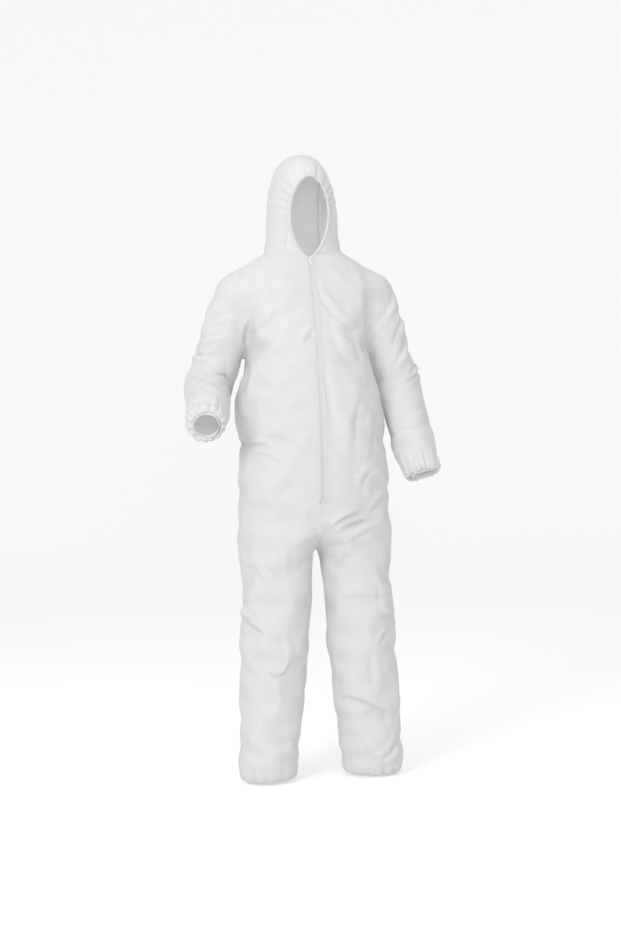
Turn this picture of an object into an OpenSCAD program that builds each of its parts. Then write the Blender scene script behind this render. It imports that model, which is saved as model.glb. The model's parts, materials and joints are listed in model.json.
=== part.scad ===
// Hooded chemical protective coverall, worn shape, in millimetres.
// X points to the wearer's left, -Y is the front, Z is up.
// The origin is on the ground, midway between the ankle hems.

/* [Body] */
// Height from the ankle hems to the top of the hood
suit_h = 1720; // [1700:5:1740]
// Half width of the body at the hips
hip_half_w = 207; // [190:1:225]
// Fabric shell thickness that stands in for the film laminate
wall = 2; // [1.6:0.1:2.4]
// Bottom edge of the body shell, just above the legs
body_rim_z = 745; // [735:1:750]

/* [Zip] */
// Half width of the gap between the two front edges, where the zip shows
zip_gap = 4.5; // [4.3:0.1:5.5]
// How far the curved zip line bows out from its straight chord
zip_bow = 44; // [36:1:50]
// Width of each zip tape
tape_w = 13; // [10:1:18]
// Length of the slider body
slider_len = 11; // [9:1:13]
// Length of the pull tab
pull_len = 22; // [16:1:30]

/* [Sleeves] */
// Outer radius of the sleeve at the shoulder
shoulder_r = 75; // [73:1:77]
// Outer radius of the sleeve at the elbow
elbow_r = 66; // [64:1:68]
// Outer radius just above the wrist gathers
fore_r = 53; // [51:1:55]
// Inner radius of the wrist elastic
wrist_r = 33; // [31:0.5:35]
// Width of the wrist elastic
wrist_band_w = 14; // [10:1:16]

/* [Legs] */
// Outer radius of the leg at the hip
hip_r = 104; // [101:1:105]
// Outer radius of the leg at the knee
knee_r = 98; // [96:1:99]
// Outer radius of the leg above the ankle gathers
ankle_r = 83; // [80:1:86]
// Inner radius of the ankle elastic
ankle_hole_r = 56; // [52:0.5:58]
// Width of the ankle elastic
ankle_band_w = 18; // [14:1:20]

/* [Hood] */
// Half width of the face opening
face_half_w = 56; // [50:1:60]
// Bottom point of the face opening, where the zip ends
face_low_z = 1438; // [1434:1:1442]
// Height of the face opening
face_h = 225; // [210:1:232]

/* [Hidden] */
$fn = 64;

eps = 0.5;        // overshoot of a cutting shape past the face it cuts
far = 900;        // size of a half-space block
seam_r = 1.3;     // radius of a serged seam ridge on a limb
seam_h = 1.0;     // height of a flat seam ridge on the body
seam_lift = 0.2;  // gap under a flat seam ridge
ball_gap = 2;     // running gap round each limb's inner ball
armhole_r = shoulder_r + 3;
band_t = 2.2;     // thickness of the wrist and ankle elastic

// The front centre line is an arc in the YZ plane, so that the slider can follow it.
zip_top = [-80, 1428];
zip_low = [-142, 752];
chord = zip_low - zip_top;
chord_len = norm(chord);
zip_R = chord_len * chord_len / (8 * zip_bow) + zip_bow / 2;
chord_dir = chord / chord_len;
pivot = (zip_top + zip_low) / 2 + (zip_R - zip_bow) * [-chord_dir[1], chord_dir[0]];
beta_top = asin((zip_top[1] - pivot[1]) / zip_R);
beta_low = asin((zip_low[1] - pivot[1]) / zip_R);
function arc_deg(mm) = mm / zip_R * 180 / PI;
slider_beta = beta_top - arc_deg(slider_len / 2 + 3);

// Limb skeleton: joint centres and cuff centres. Index 0 is right, 1 is left.
shoulder = [[-185, 8, 1325], [185, 8, 1325]];
elbow = [[-266, 60, 1090], [256, 10, 1088]];
wrist = [[-312, -175, 971], [300, -85, 819]];
hip = [[-106, -5, 665], [106, -5, 665]];
knee = [[-122, -5, 365], [122, -5, 365]];
ankle = [[-141, -5, 70], [141, -5, 70]];
hem = [[-145.5, -5, 0], [145.5, -5, 0]];
seam_share = 0.55;    // how far down the forearm its seam lies
gather_len = 22;      // length of the gathers above the wrist elastic

// Body outline: height, and half width or back depth there.
side_w = [
  [700, hip_half_w], [760, hip_half_w + 1], [830, 205], [900, 199], [930, 193], [960, 198],
  [1020, 199], [1068, 188], [1114, 174], [1170, 157], [1220, 143], [1250, 133],
  [1290, 160], [1345, 198], [1380, 194], [1400, 182], [1425, 145], [1445, 110], [1470, 102]
];
back_y = [
  [700, 118], [760, 122], [830, 112], [900, 95], [930, 90], [1000, 98], [1100, 112],
  [1200, 122], [1300, 124], [1380, 116], [1425, 102], [1470, 92]
];
side_plane_y = 8;     // the side seams lie in this plane
body_exp = 2.35;      // squareness of a body section; 2 is an ellipse
neck_z = 1452;
shoulder_seam_z = 1408;   // outer end of the shoulder seams
underarm_drop = 95;       // how far below the shoulder's centre the side seams end
seam_foot = 2;            // gap between the body's bottom edge and its upright seams
neck_seam_low = 7;        // the neck seam's two edges, below the neckline
neck_seam_high = 1;
waist_low = 918;          // the two edges of the elastic inside the back waist
waist_high = 938;
waist_from = 8;           // where it starts and ends round the back, in degrees
waist_to = 172;
soft_gap = 0.3;           // gap between a sheet and the elastic inside it

// Hood outline above the neck seam: height share, and half width, front depth or back depth there.
hood_w_t = [[0, 102], [0.36, 97], [0.51, 93], [0.7, 84], [0.85, 63], [0.944, 38], [0.985, 19], [1, 6]];
hood_f_t = [[0, 78], [0.15, 92], [0.36, 110], [0.55, 121], [0.74, 125], [0.87, 100], [0.95, 64], [1, 8]];
hood_b_t = [[0, 92], [0.2, 99], [0.36, 108], [0.55, 111], [0.74, 97], [0.88, 64], [0.96, 28], [1, 4]];
hood_exp = 2.1;
hood_rows = 14;
hood_turn = 44;       // points round one hood ring

function spow(v, e) = sign(v) * pow(abs(v), e);
function front_y(z) = pivot[0] - sqrt(zip_R * zip_R - pow(z - pivot[1], 2));

// A point on the body at angle t and height z. t = -90 is the front, 180 the right side.
function body_pt(t, z, inset) = let(
    a = lookup(z, side_w) - inset,
    b = (sin(t) < 0 ? side_plane_y - front_y(z) : lookup(z, back_y) - side_plane_y) - inset,
    e = 2 / body_exp)
  [a * spow(cos(t), e), side_plane_y + b * spow(sin(t), e), z];
// Angle at which the body's section passes x = zip_gap.
function gap_deg(z) = asin(pow(zip_gap / lookup(z, side_w), body_exp / 2));
// Neckline height at angle t: low at the throat, high at the nape.
function neckline(t) = neck_z + 10 * max(0, sin(t)) - 22 * pow(max(0, -sin(t)), 2);

function hood_pt(t, s, inset) = let(
    a = lookup(s, hood_w_t) - inset,
    b = (sin(t) < 0 ? lookup(s, hood_f_t) : lookup(s, hood_b_t)) - inset,
    e = 2 / hood_exp,
    base = neckline(t) + 1,
    top = suit_h - inset)
  [max(a, 2) * spow(cos(t), e), max(b, 2) * spow(sin(t), e), base + (top - base) * s];

// Triangles of a thin shell between two grids of points, each with rows+1 by cols+1 points
// (cols points when it closes on itself). An open top gets a rim, a dome is closed by two lids.
function shell_faces(rows, cols, closed, dome) = let(
    w = closed ? cols : cols + 1,
    q0 = (rows + 1) * w,
    P = function(i, j) i * w + j % w,
    Q = function(i, j) q0 + i * w + j % w,
    skin = [for (i = [0:rows - 1], j = [0:cols - 1]) each [
      [P(i, j), P(i + 1, j), P(i + 1, j + 1)], [P(i, j), P(i + 1, j + 1), P(i, j + 1)],
      [Q(i, j), Q(i + 1, j + 1), Q(i + 1, j)], [Q(i, j), Q(i, j + 1), Q(i + 1, j + 1)]]],
    foot = [for (j = [0:cols - 1]) each [
      [P(0, j), P(0, j + 1), Q(0, j + 1)], [P(0, j), Q(0, j + 1), Q(0, j)]]],
    head = dome
      ? [[for (j = [cols - 1:-1:0]) P(rows, j)], [for (j = [0:cols - 1]) Q(rows, j)]]
      : [for (j = [0:cols - 1]) each [
          [P(rows, j + 1), P(rows, j), Q(rows, j)],
          [P(rows, j + 1), Q(rows, j), Q(rows, j + 1)]]],
    edges = closed ? [] : [for (i = [0:rows - 1]) each [
      [P(i + 1, 0), P(i, 0), Q(i, 0)], [P(i + 1, 0), Q(i, 0), Q(i + 1, 0)],
      [P(i, cols), P(i + 1, cols), Q(i + 1, cols)],
      [P(i, cols), Q(i + 1, cols), Q(i, cols)]]])
  concat(skin, foot, head, edges);

// A curved sheet of the body between two angles and two edge lines, at a depth below its skin.
// The edge lines are functions of the angle; gap0 and gap1 keep that end clear of the zip gap.
module body_sheet(t0, t1, low, high, depth, thick, rows = 28, cols = 16, gap0 = 0, gap1 = 0) {
  function ang(j, z) = let(a0 = t0 + gap0 * gap_deg(z), a1 = t1 - gap1 * gap_deg(z))
    a0 + (a1 - a0) * j / cols;
  function grid(inset) = [for (i = [0:rows], j = [0:cols]) let(
      t = t0 + (t1 - t0) * j / cols,
      z = low(t) + (high(t) - low(t)) * i / rows)
    body_pt(ang(j, z), z, inset)];
  polyhedron(concat(grid(depth), grid(depth + thick)), shell_faces(rows, cols, false, false));
}

// Everything on one side of a plane through p with outward direction n is kept out.
module half_space(p, n) {
  translate(p) aim(n) translate([-far / 2, -far / 2, 0]) cube(far);
}
// Turns +Z to direction n.
module aim(n) {
  rotate([0, acos(n[2] / norm(n)), atan2(n[1], n[0])]) children();
}
module half_disc(r) {
  intersection() {
    circle(r = r);
    translate([0, -r]) square([r, 2 * r]);
  }
}
// A hollow limb from p towards q: a ball round p, then a tube through the stations [distance, radius].
module limb_shell(p, q, ball_r, stations) {
  last = stations[len(stations) - 1];
  translate(p) aim(q - p) rotate_extrude() difference() {
    union() {
      half_disc(ball_r);
      polygon(concat([[0, 0]], [for (s = stations) [s[1], s[0]]], [[0, last[0]]]));
    }
    half_disc(ball_r - wall);
    polygon(concat([[0, 0]], [for (s = stations) [s[1] - wall, s[0]]],
      [[last[1] - wall, last[0] + 1], [0, last[0] + 1]]));
  }
}
// A cone from p to q.
module limb(p, q, r0, r1) {
  translate(p) aim(q - p) cylinder(h = norm(q - p), r1 = r0, r2 = r1);
}
function unit(v) = v / norm(v);
function along(p, q, share) = p + (q - p) * share;

// ---- body -------------------------------------------------------------------------

module fabric() {
  color([0.95, 0.95, 0.955]) children();
}
module armhole(side) {
  translate(shoulder[side]) sphere(r = armhole_r);
}
module front_torso(side) {
  low = function(t) body_rim_z;
  high = function(t) neckline(t);
  fabric() difference() {
    if (side == 0)
      body_sheet(-180, -90, low, high, 0, wall, gap1 = 1);
    else
      body_sheet(-90, 0, low, high, 0, wall, gap0 = 1);
    armhole(side);
  }
}
module back_torso(side) {
  low = function(t) body_rim_z;
  high = function(t) neckline(t);
  fabric() difference() {
    if (side == 0)
      body_sheet(90.02, 179.9, low, high, 0, wall);
    else
      body_sheet(0.1, 89.98, low, high, 0, wall);
    armhole(side);
  }
}
module body_seam(t0, t1, low, high, rows = 28, cols = 2) {
  color([0.9, 0.9, 0.91]) body_sheet(t0, t1, low, high, -seam_lift - seam_h, seam_h,
    rows = rows, cols = cols);
}
module centre_back_seam() {
  body_seam(89, 91, function(t) body_rim_z + seam_foot, function(t) neckline(t) - 10);
}
module side_seam(side) {
  t = side == 0 ? 180 : 0;
  body_seam(t - 1.2, t + 1.2, function(t) body_rim_z + seam_foot,
    function(t) shoulder[0][2] - underarm_drop);
}
module shoulder_seam(side) {
  t = side == 0 ? 180 : 0;
  body_seam(t - 2.5, t + 2.5, function(t) shoulder_seam_z, function(t) neck_z - 10, rows = 4);
}
module neck_seam() {
  color([0.9, 0.9, 0.91])
    body_sheet(-90, 270, function(t) neckline(t) - neck_seam_low,
      function(t) neckline(t) - neck_seam_high,
      -seam_lift - seam_h, seam_h, rows = 1, cols = 48, gap0 = 2, gap1 = 2);
}
module armhole_seam(side) {
  t = side == 0 ? 180 : 0;
  color([0.9, 0.9, 0.91]) difference() {
    intersection() {
      body_sheet(t - 80, t + 80, function(t) shoulder[0][2] - underarm_drop - 5, function(t) neck_z - 12,
        -seam_lift - seam_h, seam_h, rows = 12, cols = 20);
      translate(shoulder[side]) sphere(r = armhole_r + 5);
    }
    translate(shoulder[side]) sphere(r = armhole_r + 0.6);
  }
}
module waist_elastic() {
  color([0.93, 0.93, 0.9])
    body_sheet(waist_from, waist_to, function(t) waist_low, function(t) waist_high,
      wall + soft_gap, 1, rows = 2, cols = 24);
}

// ---- zip --------------------------------------------------------------------------

// Carries its children to the zip line at height angle beta: -Y is outward, Z runs up the zip.
module on_zip(beta) {
  translate([0, pivot[0], pivot[1]]) rotate([-beta, 0, 0]) translate([0, -zip_R, 0]) children();
}
// Sweeps a profile along the zip from beta0 up to beta1. In the profile x is distance from
// the arc's centre and y is the sideways position.
module along_zip(beta0, beta1) {
  translate([0, pivot[0], pivot[1]]) rotate([0, 90, 0]) rotate([0, 0, 270 - beta1])
    rotate_extrude(angle = beta1 - beta0, $fn = 128) children();
}
module bar(r0, r1, x0, x1) {
  translate([zip_R + r0, x0]) square([r1 - r0, x1 - x0]);
}
// Depths below the front edge's outer skin, outward positive.
tape_out = -2.2;
tape_in = -2.9;
coil_r = 1.15;
coil_x = 1.85;
coil_depth = -1.0;
web_half = 0.4;
module zip_tape(side) {
  lo = side == 0 ? -0.5 - tape_w : 0.5;
  color([0.97, 0.97, 0.97]) along_zip(beta_low - 0.1, beta_top + 0.1)
    bar(tape_in, tape_out, lo, lo + tape_w);
}
module zip_coil(side) {
  x = side == 0 ? -coil_x : coil_x;
  color([0.85, 0.85, 0.86]) along_zip(beta_low + 0.25, beta_top - 0.12)
    translate([zip_R + coil_depth, x]) circle(r = coil_r);
}
module zip_top_stops() {
  color([0.8, 0.8, 0.82]) for (x = [-coil_x - coil_r, coil_x - coil_r])
    along_zip(beta_top - 0.09, beta_top + 0.05) bar(-2.15, 0.2, x, x + 2 * coil_r);
}
module zip_bottom_stop() {
  color([0.8, 0.8, 0.82]) along_zip(beta_low, beta_low + 0.22) bar(-2.15, 0.4, -3.2, 3.2);
}
plate_half = 4.0;
module zip_slider() {
  half = arc_deg(slider_len / 2);
  color([0.86, 0.86, 0.88]) {
    along_zip(slider_beta - half, slider_beta + half) {
      bar(0.35, 1.35, -plate_half, plate_half);
      bar(-4.2, -3.2, -plate_half, plate_half);
      bar(-2.1, 0.6, -plate_half, -3.3);
      bar(-2.1, 0.6, 3.3, plate_half);
    }
    along_zip(slider_beta + half * 0.3, slider_beta + half * 0.9)
      bar(-3.6, 0.8, -web_half, web_half);
    on_zip(slider_beta) difference() {
      translate([-0.8, -4.4, -3.6]) cube([1.6, 3.3, 7.2]);
      translate([-eps - 0.8, -3.4, -2.4]) cube([1.6 + 2 * eps, 1.9, 4.8]);
    }
  }
}
pin_r = 0.6;
pin_out = 2.6;        // how far the pull's pin stands out from the zip line
module zip_pull() {
  color([0.88, 0.88, 0.9]) on_zip(slider_beta) translate([0, -pin_out, 0]) {
    translate([-2.6, 0, 0]) rotate([0, 90, 0]) cylinder(h = 5.2, r = pin_r);
    for (x = [-2.6, 1.4])
      translate([x, -0.5, -6]) cube([1.2, 1, 6.3]);
    difference() {
      translate([-3, -0.5, -pull_len]) cube([6, 1, pull_len - 5.4]);
      translate([0, -1, -pull_len + 4.2]) rotate([-90, 0, 0]) cylinder(h = 2, r = 1.6);
    }
  }
}

// ---- hood -------------------------------------------------------------------------

module hood_shell(depth, thick) {
  function grid(inset) = [for (i = [0:hood_rows], j = [0:hood_turn - 1])
    hood_pt(-90 + 360 * j / hood_turn, sin(90 * i / hood_rows), inset)];
  polyhedron(concat(grid(depth), grid(depth + thick)),
    shell_faces(hood_rows, hood_turn, true, true));
}
// The face opening's outline, with x sideways and y up, grown by g.
module face_outline(g) {
  function half(s) = face_half_w * pow(max(0, sin(180 * pow(s, 0.9))), 0.75);
  n = 22;
  offset(delta = g) translate([0, face_low_z]) polygon(concat(
    [for (i = [0:n]) [half(i / n), face_h * i / n]],
    [for (i = [n - 1:-1:1]) [-half(i / n), face_h * i / n]]));
}
module face_prism(g) {
  rotate([90, 0, 0]) linear_extrude(height = far) face_outline(g);
}
// Planes of the two seams that run from the brow over the crown to the nape.
seam_front = [38, -118, 1640];
seam_crown = [46, 0, 1716];
seam_nape = [74, 92, 1462];
module beyond_seam(side, shift) {
  x = side == 0 ? -1 : 1;
  n = cross(seam_nape - seam_front, seam_crown - seam_front);
  out = unit(n[0] > 0 ? n : -n);
  p = seam_crown + out * shift;
  half_space([x * p[0], p[1], p[2]], [x * out[0], out[1], out[2]]);
}
// The block under the brow, where the side panels meet the face opening.
module under_brow() {
  translate([-far / 2, -far - 20, face_low_z - far]) cube([far, far, far + 174]);
}
module hood_side(side) {
  fabric() difference() {
    intersection() {
      hood_shell(0, wall);
      union() {
        beyond_seam(side, 0);
        intersection() {
          under_brow();
          translate(side == 0 ? [-far, -far / 2, 0] : [0, -far / 2, 0]) cube([far, far, 3 * far]);
        }
      }
    }
    face_prism(0);
    translate([-1.5, -200, face_low_z - 20]) cube([3, 200, 40]);
  }
}
module hood_centre() {
  fabric() difference() {
    hood_shell(0, wall);
    beyond_seam(0, -0.01);
    beyond_seam(1, -0.01);
    under_brow();
    face_prism(0);
  }
}
module hood_seams() {
  color([0.9, 0.9, 0.91]) difference() {
    hood_shell(-seam_lift - seam_h, seam_h);
    for (side = [0, 1]) beyond_seam(side, 1.6);
    difference() {
      translate([-far / 2, -far / 2, neck_z - far / 2]) cube([far, far, far]);
      for (side = [0, 1]) beyond_seam(side, -1.6);
    }
    under_brow();
    face_prism(9);
  }
}
module hood_elastic() {
  color([0.93, 0.93, 0.9]) intersection() {
    hood_shell(wall + soft_gap, 1);
    difference() {
      face_prism(7.5);
      face_prism(1.5);
      translate([-far / 2, -far, 0]) cube([far, far, face_low_z + 14]);
    }
  }
}

// ---- sleeves ----------------------------------------------------------------------

function arm_dir(side) = unit(elbow[side] - shoulder[side]);
function fore_dir(side) = unit(wrist[side] - elbow[side]);
function fore_len(side) = norm(wrist[side] - elbow[side]);
function seam_at(side) = along(elbow[side], wrist[side], seam_share);
function elbow_ball(side) = elbow_r - wall - ball_gap;
// The elbow's hinge line. The left forearm swings straight forward, clear of the body.
function hinge_line(side) = cross(arm_dir(side), side == 0 ? fore_dir(side) : [0, -1, 0]);
// The inner side of the elbow, square to the upper arm.
function crook(side) = unit(cross(hinge_line(side), arm_dir(side)));
function crook_fore(side) = unit(arm_dir(side) - (fore_dir(side) * arm_dir(side)) * fore_dir(side));
crook_cut = 58;       // slope of the cut that frees the inner side of an elbow or a knee
ball_mouth = 40;      // distance of a ball's mouth from its centre, at the elbow
mid_share = 0.25;     // where the upper sleeve stops narrowing
mid_r = elbow_r - 4;

module sleeve_upper(side) {
  x = side == 0 ? -1 : 1;
  d = arm_dir(side);
  len = norm(elbow[side] - shoulder[side]);
  fabric() difference() {
    limb_shell(shoulder[side], elbow[side], shoulder_r,
      [[0, shoulder_r - 1.5], [len * mid_share, mid_r], [len - 4, elbow_r]]);
    half_space(shoulder[side] - [x * 40, 0, 0], [-x, 0, 0]);
    half_space(elbow[side], cos(crook_cut) * d + sin(crook_cut) * crook(side));
  }
}
module sleeve_elbow(side) {
  mouth = -unit(arm_dir(side) + fore_dir(side));
  fabric() difference() {
    limb_shell(elbow[side], wrist[side], elbow_ball(side),
      [[0, elbow_ball(side) - 1.2], [fore_len(side) * seam_share, fore_r + 1]]);
    half_space(elbow[side] + mouth * ball_mouth, mouth);
  }
}
// The sleeve end flares a little at its seam and gathers in at the wrist.
module sleeve_end(side) {
  d = fore_dir(side);
  start = seam_at(side) + d * 0.2;
  len = norm(wrist[side] - start);
  tip = wrist_r + band_t + 0.4;
  fabric() translate(start) aim(d) rotate_extrude() polygon([
    [fore_r + 5 - wall, 0], [fore_r + 5, 0], [fore_r, len - gather_len], [tip + wall, len],
    [tip, len], [fore_r - wall, len - gather_len]]);
}
module wrist_elastic(side) {
  d = fore_dir(side);
  color([0.93, 0.93, 0.9]) translate(wrist[side] - d * wrist_band_w) aim(d)
    rotate_extrude() translate([wrist_r, 0]) square([band_t, wrist_band_w]);
}
module forearm_seam(side) {
  color([0.9, 0.9, 0.91]) translate(seam_at(side) - fore_dir(side) * seam_r) aim(fore_dir(side))
    rotate_extrude() translate([fore_r + 1 + seam_r + 0.1, 0]) circle(r = seam_r);
}
// A ridge along a limb's skin, from share s0 to s1 of its length, on the side named by n.
module ridge(p, q, r0, r1, n, s0, s1) {
  d = unit(q - p);
  out = unit(n - (n * d) * d);
  a = along(p, q, s0) + out * (r0 + (r1 - r0) * s0 + seam_r + 0.1);
  b = along(p, q, s1) + out * (r0 + (r1 - r0) * s1 + seam_r + 0.1);
  limb(a, b, seam_r, seam_r);
}
module sleeve_seam_upper(side) {
  color([0.9, 0.9, 0.91])
    ridge(shoulder[side], elbow[side], mid_r, elbow_r, [0, 1, 0], mid_share + 0.02, 0.93);
}
module sleeve_seam_lower(side) {
  n = -crook_fore(side);
  color([0.9, 0.9, 0.91])
    ridge(elbow[side], seam_at(side), elbow_ball(side) - 1.2, fore_r + 1, n, 0.3, 0.95);
  color([0.9, 0.9, 0.91])
    ridge(seam_at(side), wrist[side] - fore_dir(side) * gather_len, fore_r + 5, fore_r, n, 0.04, 0.96);
}

// ---- legs -------------------------------------------------------------------------

knee_ball = knee_r - wall - ball_gap;
knee_mouth = 74;      // distance of the knee ball's mouth from its centre
knee_tilt = 20;       // how far the mouth leans back
hip_mouth_z = 735;
module front_half(p, front) {
  y = front ? 1 : -1;
  half_space(p + [0, -y * 0.02, 0], [0, y, 0]);
}
module thigh(side, front) {
  d = unit(knee[side] - hip[side]);
  len = norm(knee[side] - hip[side]);
  fabric() difference() {
    limb_shell(hip[side], knee[side], hip_r, [[0, hip_r - 2], [len - 4, knee_r]]);
    half_space([0, 0, hip_mouth_z], [0, 0, 1]);
    half_space(knee[side], cos(crook_cut) * d + [0, sin(crook_cut), 0]);
    front_half(hip[side], front);
  }
}
module shin(side, front) {
  mouth = [0, sin(knee_tilt), cos(knee_tilt)];
  tip = ankle_hole_r + band_t + 0.6;
  len = norm(ankle[side] - knee[side]);
  fabric() difference() {
    limb_shell(knee[side], ankle[side], knee_ball,
      [[0, knee_ball - 1.5], [len, ankle_r], [norm(hem[side] - knee[side]), tip + wall]]);
    half_space(knee[side] + mouth * knee_mouth, mouth);
    half_space([0, 0, 0], [0, 0, -1]);
    front_half(knee[side], front);
  }
}
module ankle_elastic(side) {
  color([0.93, 0.93, 0.9]) translate(hem[side]) rotate_extrude()
    translate([ankle_hole_r, 0]) square([band_t, ankle_band_w]);
}
module thigh_seams(side) {
  color([0.9, 0.9, 0.91]) for (x = [-1, 1])
    ridge(hip[side], knee[side], hip_r - 2, knee_r, [x, 0, 0], x * (side * 2 - 1) > 0 ? 0.12 : 0.25, 0.95);
}
module shin_seams(side) {
  color([0.9, 0.9, 0.91]) for (x = [-1, 1])
    ridge(knee[side], ankle[side], knee_ball - 1.5, ankle_r, [x, 0, 0], 0.14, 0.98);
}

front_torso(0);  // front_torso_right
front_torso(1);  // front_torso_left
back_torso(0);  // back_torso_right
back_torso(1);  // back_torso_left
centre_back_seam();
side_seam(0);  // side_seam_right
side_seam(1);  // side_seam_left
shoulder_seam(0);  // shoulder_seam_right
shoulder_seam(1);  // shoulder_seam_left
neck_seam();
armhole_seam(0);  // armhole_seam_right
armhole_seam(1);  // armhole_seam_left
waist_elastic();
zip_tape(0);  // zip_tape_right
zip_tape(1);  // zip_tape_left
zip_coil(0);  // zip_coil_right
zip_coil(1);  // zip_coil_left
zip_top_stops();
zip_bottom_stop();
zip_slider();
zip_pull();
hood_side(0);  // hood_side_right
hood_side(1);  // hood_side_left
hood_centre();
hood_elastic();
hood_seams();
sleeve_upper(0);  // sleeve_upper_right
sleeve_upper(1);  // sleeve_upper_left
sleeve_elbow(0);  // sleeve_elbow_right
sleeve_elbow(1);  // sleeve_elbow_left
sleeve_end(0);  // sleeve_end_right
sleeve_end(1);  // sleeve_end_left
forearm_seam(0);  // forearm_seam_right
forearm_seam(1);  // forearm_seam_left
sleeve_seam_upper(0);  // sleeve_seam_upper_right
sleeve_seam_upper(1);  // sleeve_seam_upper_left
sleeve_seam_lower(0);  // sleeve_seam_lower_right
sleeve_seam_lower(1);  // sleeve_seam_lower_left
wrist_elastic(0);  // wrist_elastic_right
wrist_elastic(1);  // wrist_elastic_left
thigh(0, true);  // front_thigh_right
thigh(1, true);  // front_thigh_left
thigh(0, false);  // back_thigh_right
thigh(1, false);  // back_thigh_left
shin(0, true);  // front_shin_right
shin(1, true);  // front_shin_left
shin(0, false);  // back_shin_right
shin(1, false);  // back_shin_left
thigh_seams(0);  // thigh_seams_right
thigh_seams(1);  // thigh_seams_left
shin_seams(0);  // shin_seams_right
shin_seams(1);  // shin_seams_left
ankle_elastic(0);  // ankle_elastic_right
ankle_elastic(1);  // ankle_elastic_left
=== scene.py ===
"""Looks of the hooded protective coverall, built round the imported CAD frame. Lengths are in metres."""

import json
import math

import bmesh
import bpy
import numpy as np
from mathutils import Matrix, Vector

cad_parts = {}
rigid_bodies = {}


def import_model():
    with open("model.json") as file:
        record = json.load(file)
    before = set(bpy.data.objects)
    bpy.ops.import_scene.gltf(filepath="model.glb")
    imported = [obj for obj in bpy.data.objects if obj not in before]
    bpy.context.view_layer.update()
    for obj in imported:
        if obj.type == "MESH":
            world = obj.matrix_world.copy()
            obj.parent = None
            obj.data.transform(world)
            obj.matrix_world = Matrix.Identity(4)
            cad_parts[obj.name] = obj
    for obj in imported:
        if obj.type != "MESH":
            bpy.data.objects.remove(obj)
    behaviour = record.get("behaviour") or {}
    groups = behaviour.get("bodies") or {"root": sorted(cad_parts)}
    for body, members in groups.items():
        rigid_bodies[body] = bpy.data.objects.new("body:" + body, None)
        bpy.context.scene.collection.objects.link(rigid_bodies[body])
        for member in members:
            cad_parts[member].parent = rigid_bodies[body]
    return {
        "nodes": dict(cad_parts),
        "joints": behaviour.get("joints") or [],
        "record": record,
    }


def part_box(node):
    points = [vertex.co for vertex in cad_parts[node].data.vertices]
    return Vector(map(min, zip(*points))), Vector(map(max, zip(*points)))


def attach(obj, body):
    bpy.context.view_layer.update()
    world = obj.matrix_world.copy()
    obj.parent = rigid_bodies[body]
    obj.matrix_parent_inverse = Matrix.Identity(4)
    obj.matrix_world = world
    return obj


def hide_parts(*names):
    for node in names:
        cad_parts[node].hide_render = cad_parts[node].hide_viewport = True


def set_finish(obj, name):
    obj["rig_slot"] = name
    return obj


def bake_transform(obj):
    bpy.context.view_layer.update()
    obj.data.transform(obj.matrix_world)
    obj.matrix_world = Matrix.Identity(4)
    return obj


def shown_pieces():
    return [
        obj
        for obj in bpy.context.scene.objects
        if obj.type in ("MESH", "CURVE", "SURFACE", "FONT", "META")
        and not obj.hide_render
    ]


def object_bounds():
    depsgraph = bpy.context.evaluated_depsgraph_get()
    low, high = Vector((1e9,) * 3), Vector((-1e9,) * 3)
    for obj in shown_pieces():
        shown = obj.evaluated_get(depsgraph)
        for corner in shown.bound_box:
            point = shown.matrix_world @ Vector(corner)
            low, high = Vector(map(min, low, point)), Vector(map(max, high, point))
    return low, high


for leftover in list(bpy.data.objects):
    bpy.data.objects.remove(leftover)
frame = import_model()
cad_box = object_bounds()
MM = 0.001
SIDES = {"right": -1, "left": 1}

# ---------------------------------------------------------------- sizes read from the frame

joints = {j["name"]: j for j in frame["joints"]}
mounts = {m["name"]: m for m in frame["record"]["mounts"]}


def joint_at(name):
    return np.array(joints[name]["pos_m"], float)


def unit(v):
    return v / np.linalg.norm(v)


TOP_Z = cad_box[1][2]
NECK_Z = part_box("shoulder_seam_left")[1][2] - 2 * MM
ZIP_TOP_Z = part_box("zip_coil_left")[1][2]
ZIP_LOW_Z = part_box("zip_bottom_stop")[0][2]
FACE_LOW_Z = ZIP_TOP_Z - 3 * MM
FACE_H = 0.22
FACE_HALF_W = 0.056
FACE_WIDEST = 0.52
ZIP_HALF_GAP = 4.5 * MM
PULL_REACH = 0.04
ZIP_PIVOT = joint_at("zip_travel")
ZIP_R = ZIP_PIVOT[1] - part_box("zip_tape_left")[0][1] + 2.2 * MM

LIMBS = {}
for side in SIDES:
    wrist = mounts[f"{side}_wrist_opening"]
    wrist_dir = np.array(wrist["axis"], float)
    ankle = mounts[f"{side}_ankle_opening"]
    LIMBS[side] = {
        "shoulder": joint_at(f"shoulder_{side}"),
        "elbow": joint_at(f"elbow_{side}"),
        "wrist": np.array(wrist["pos_m"]) + wrist_dir * wrist["dims"]["length_mm"] / 2 * MM,
        "wrist_dir": wrist_dir,
        "wrist_r": wrist["dims"]["r_mm"] * MM,
        "hip": joint_at(f"hip_{side}"),
        "knee": joint_at(f"knee_{side}"),
        "hem": np.array(ankle["pos_m"]) * (1, 1, 0),
        "hem_r": ankle["dims"]["r_mm"] * MM,
    }

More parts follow.
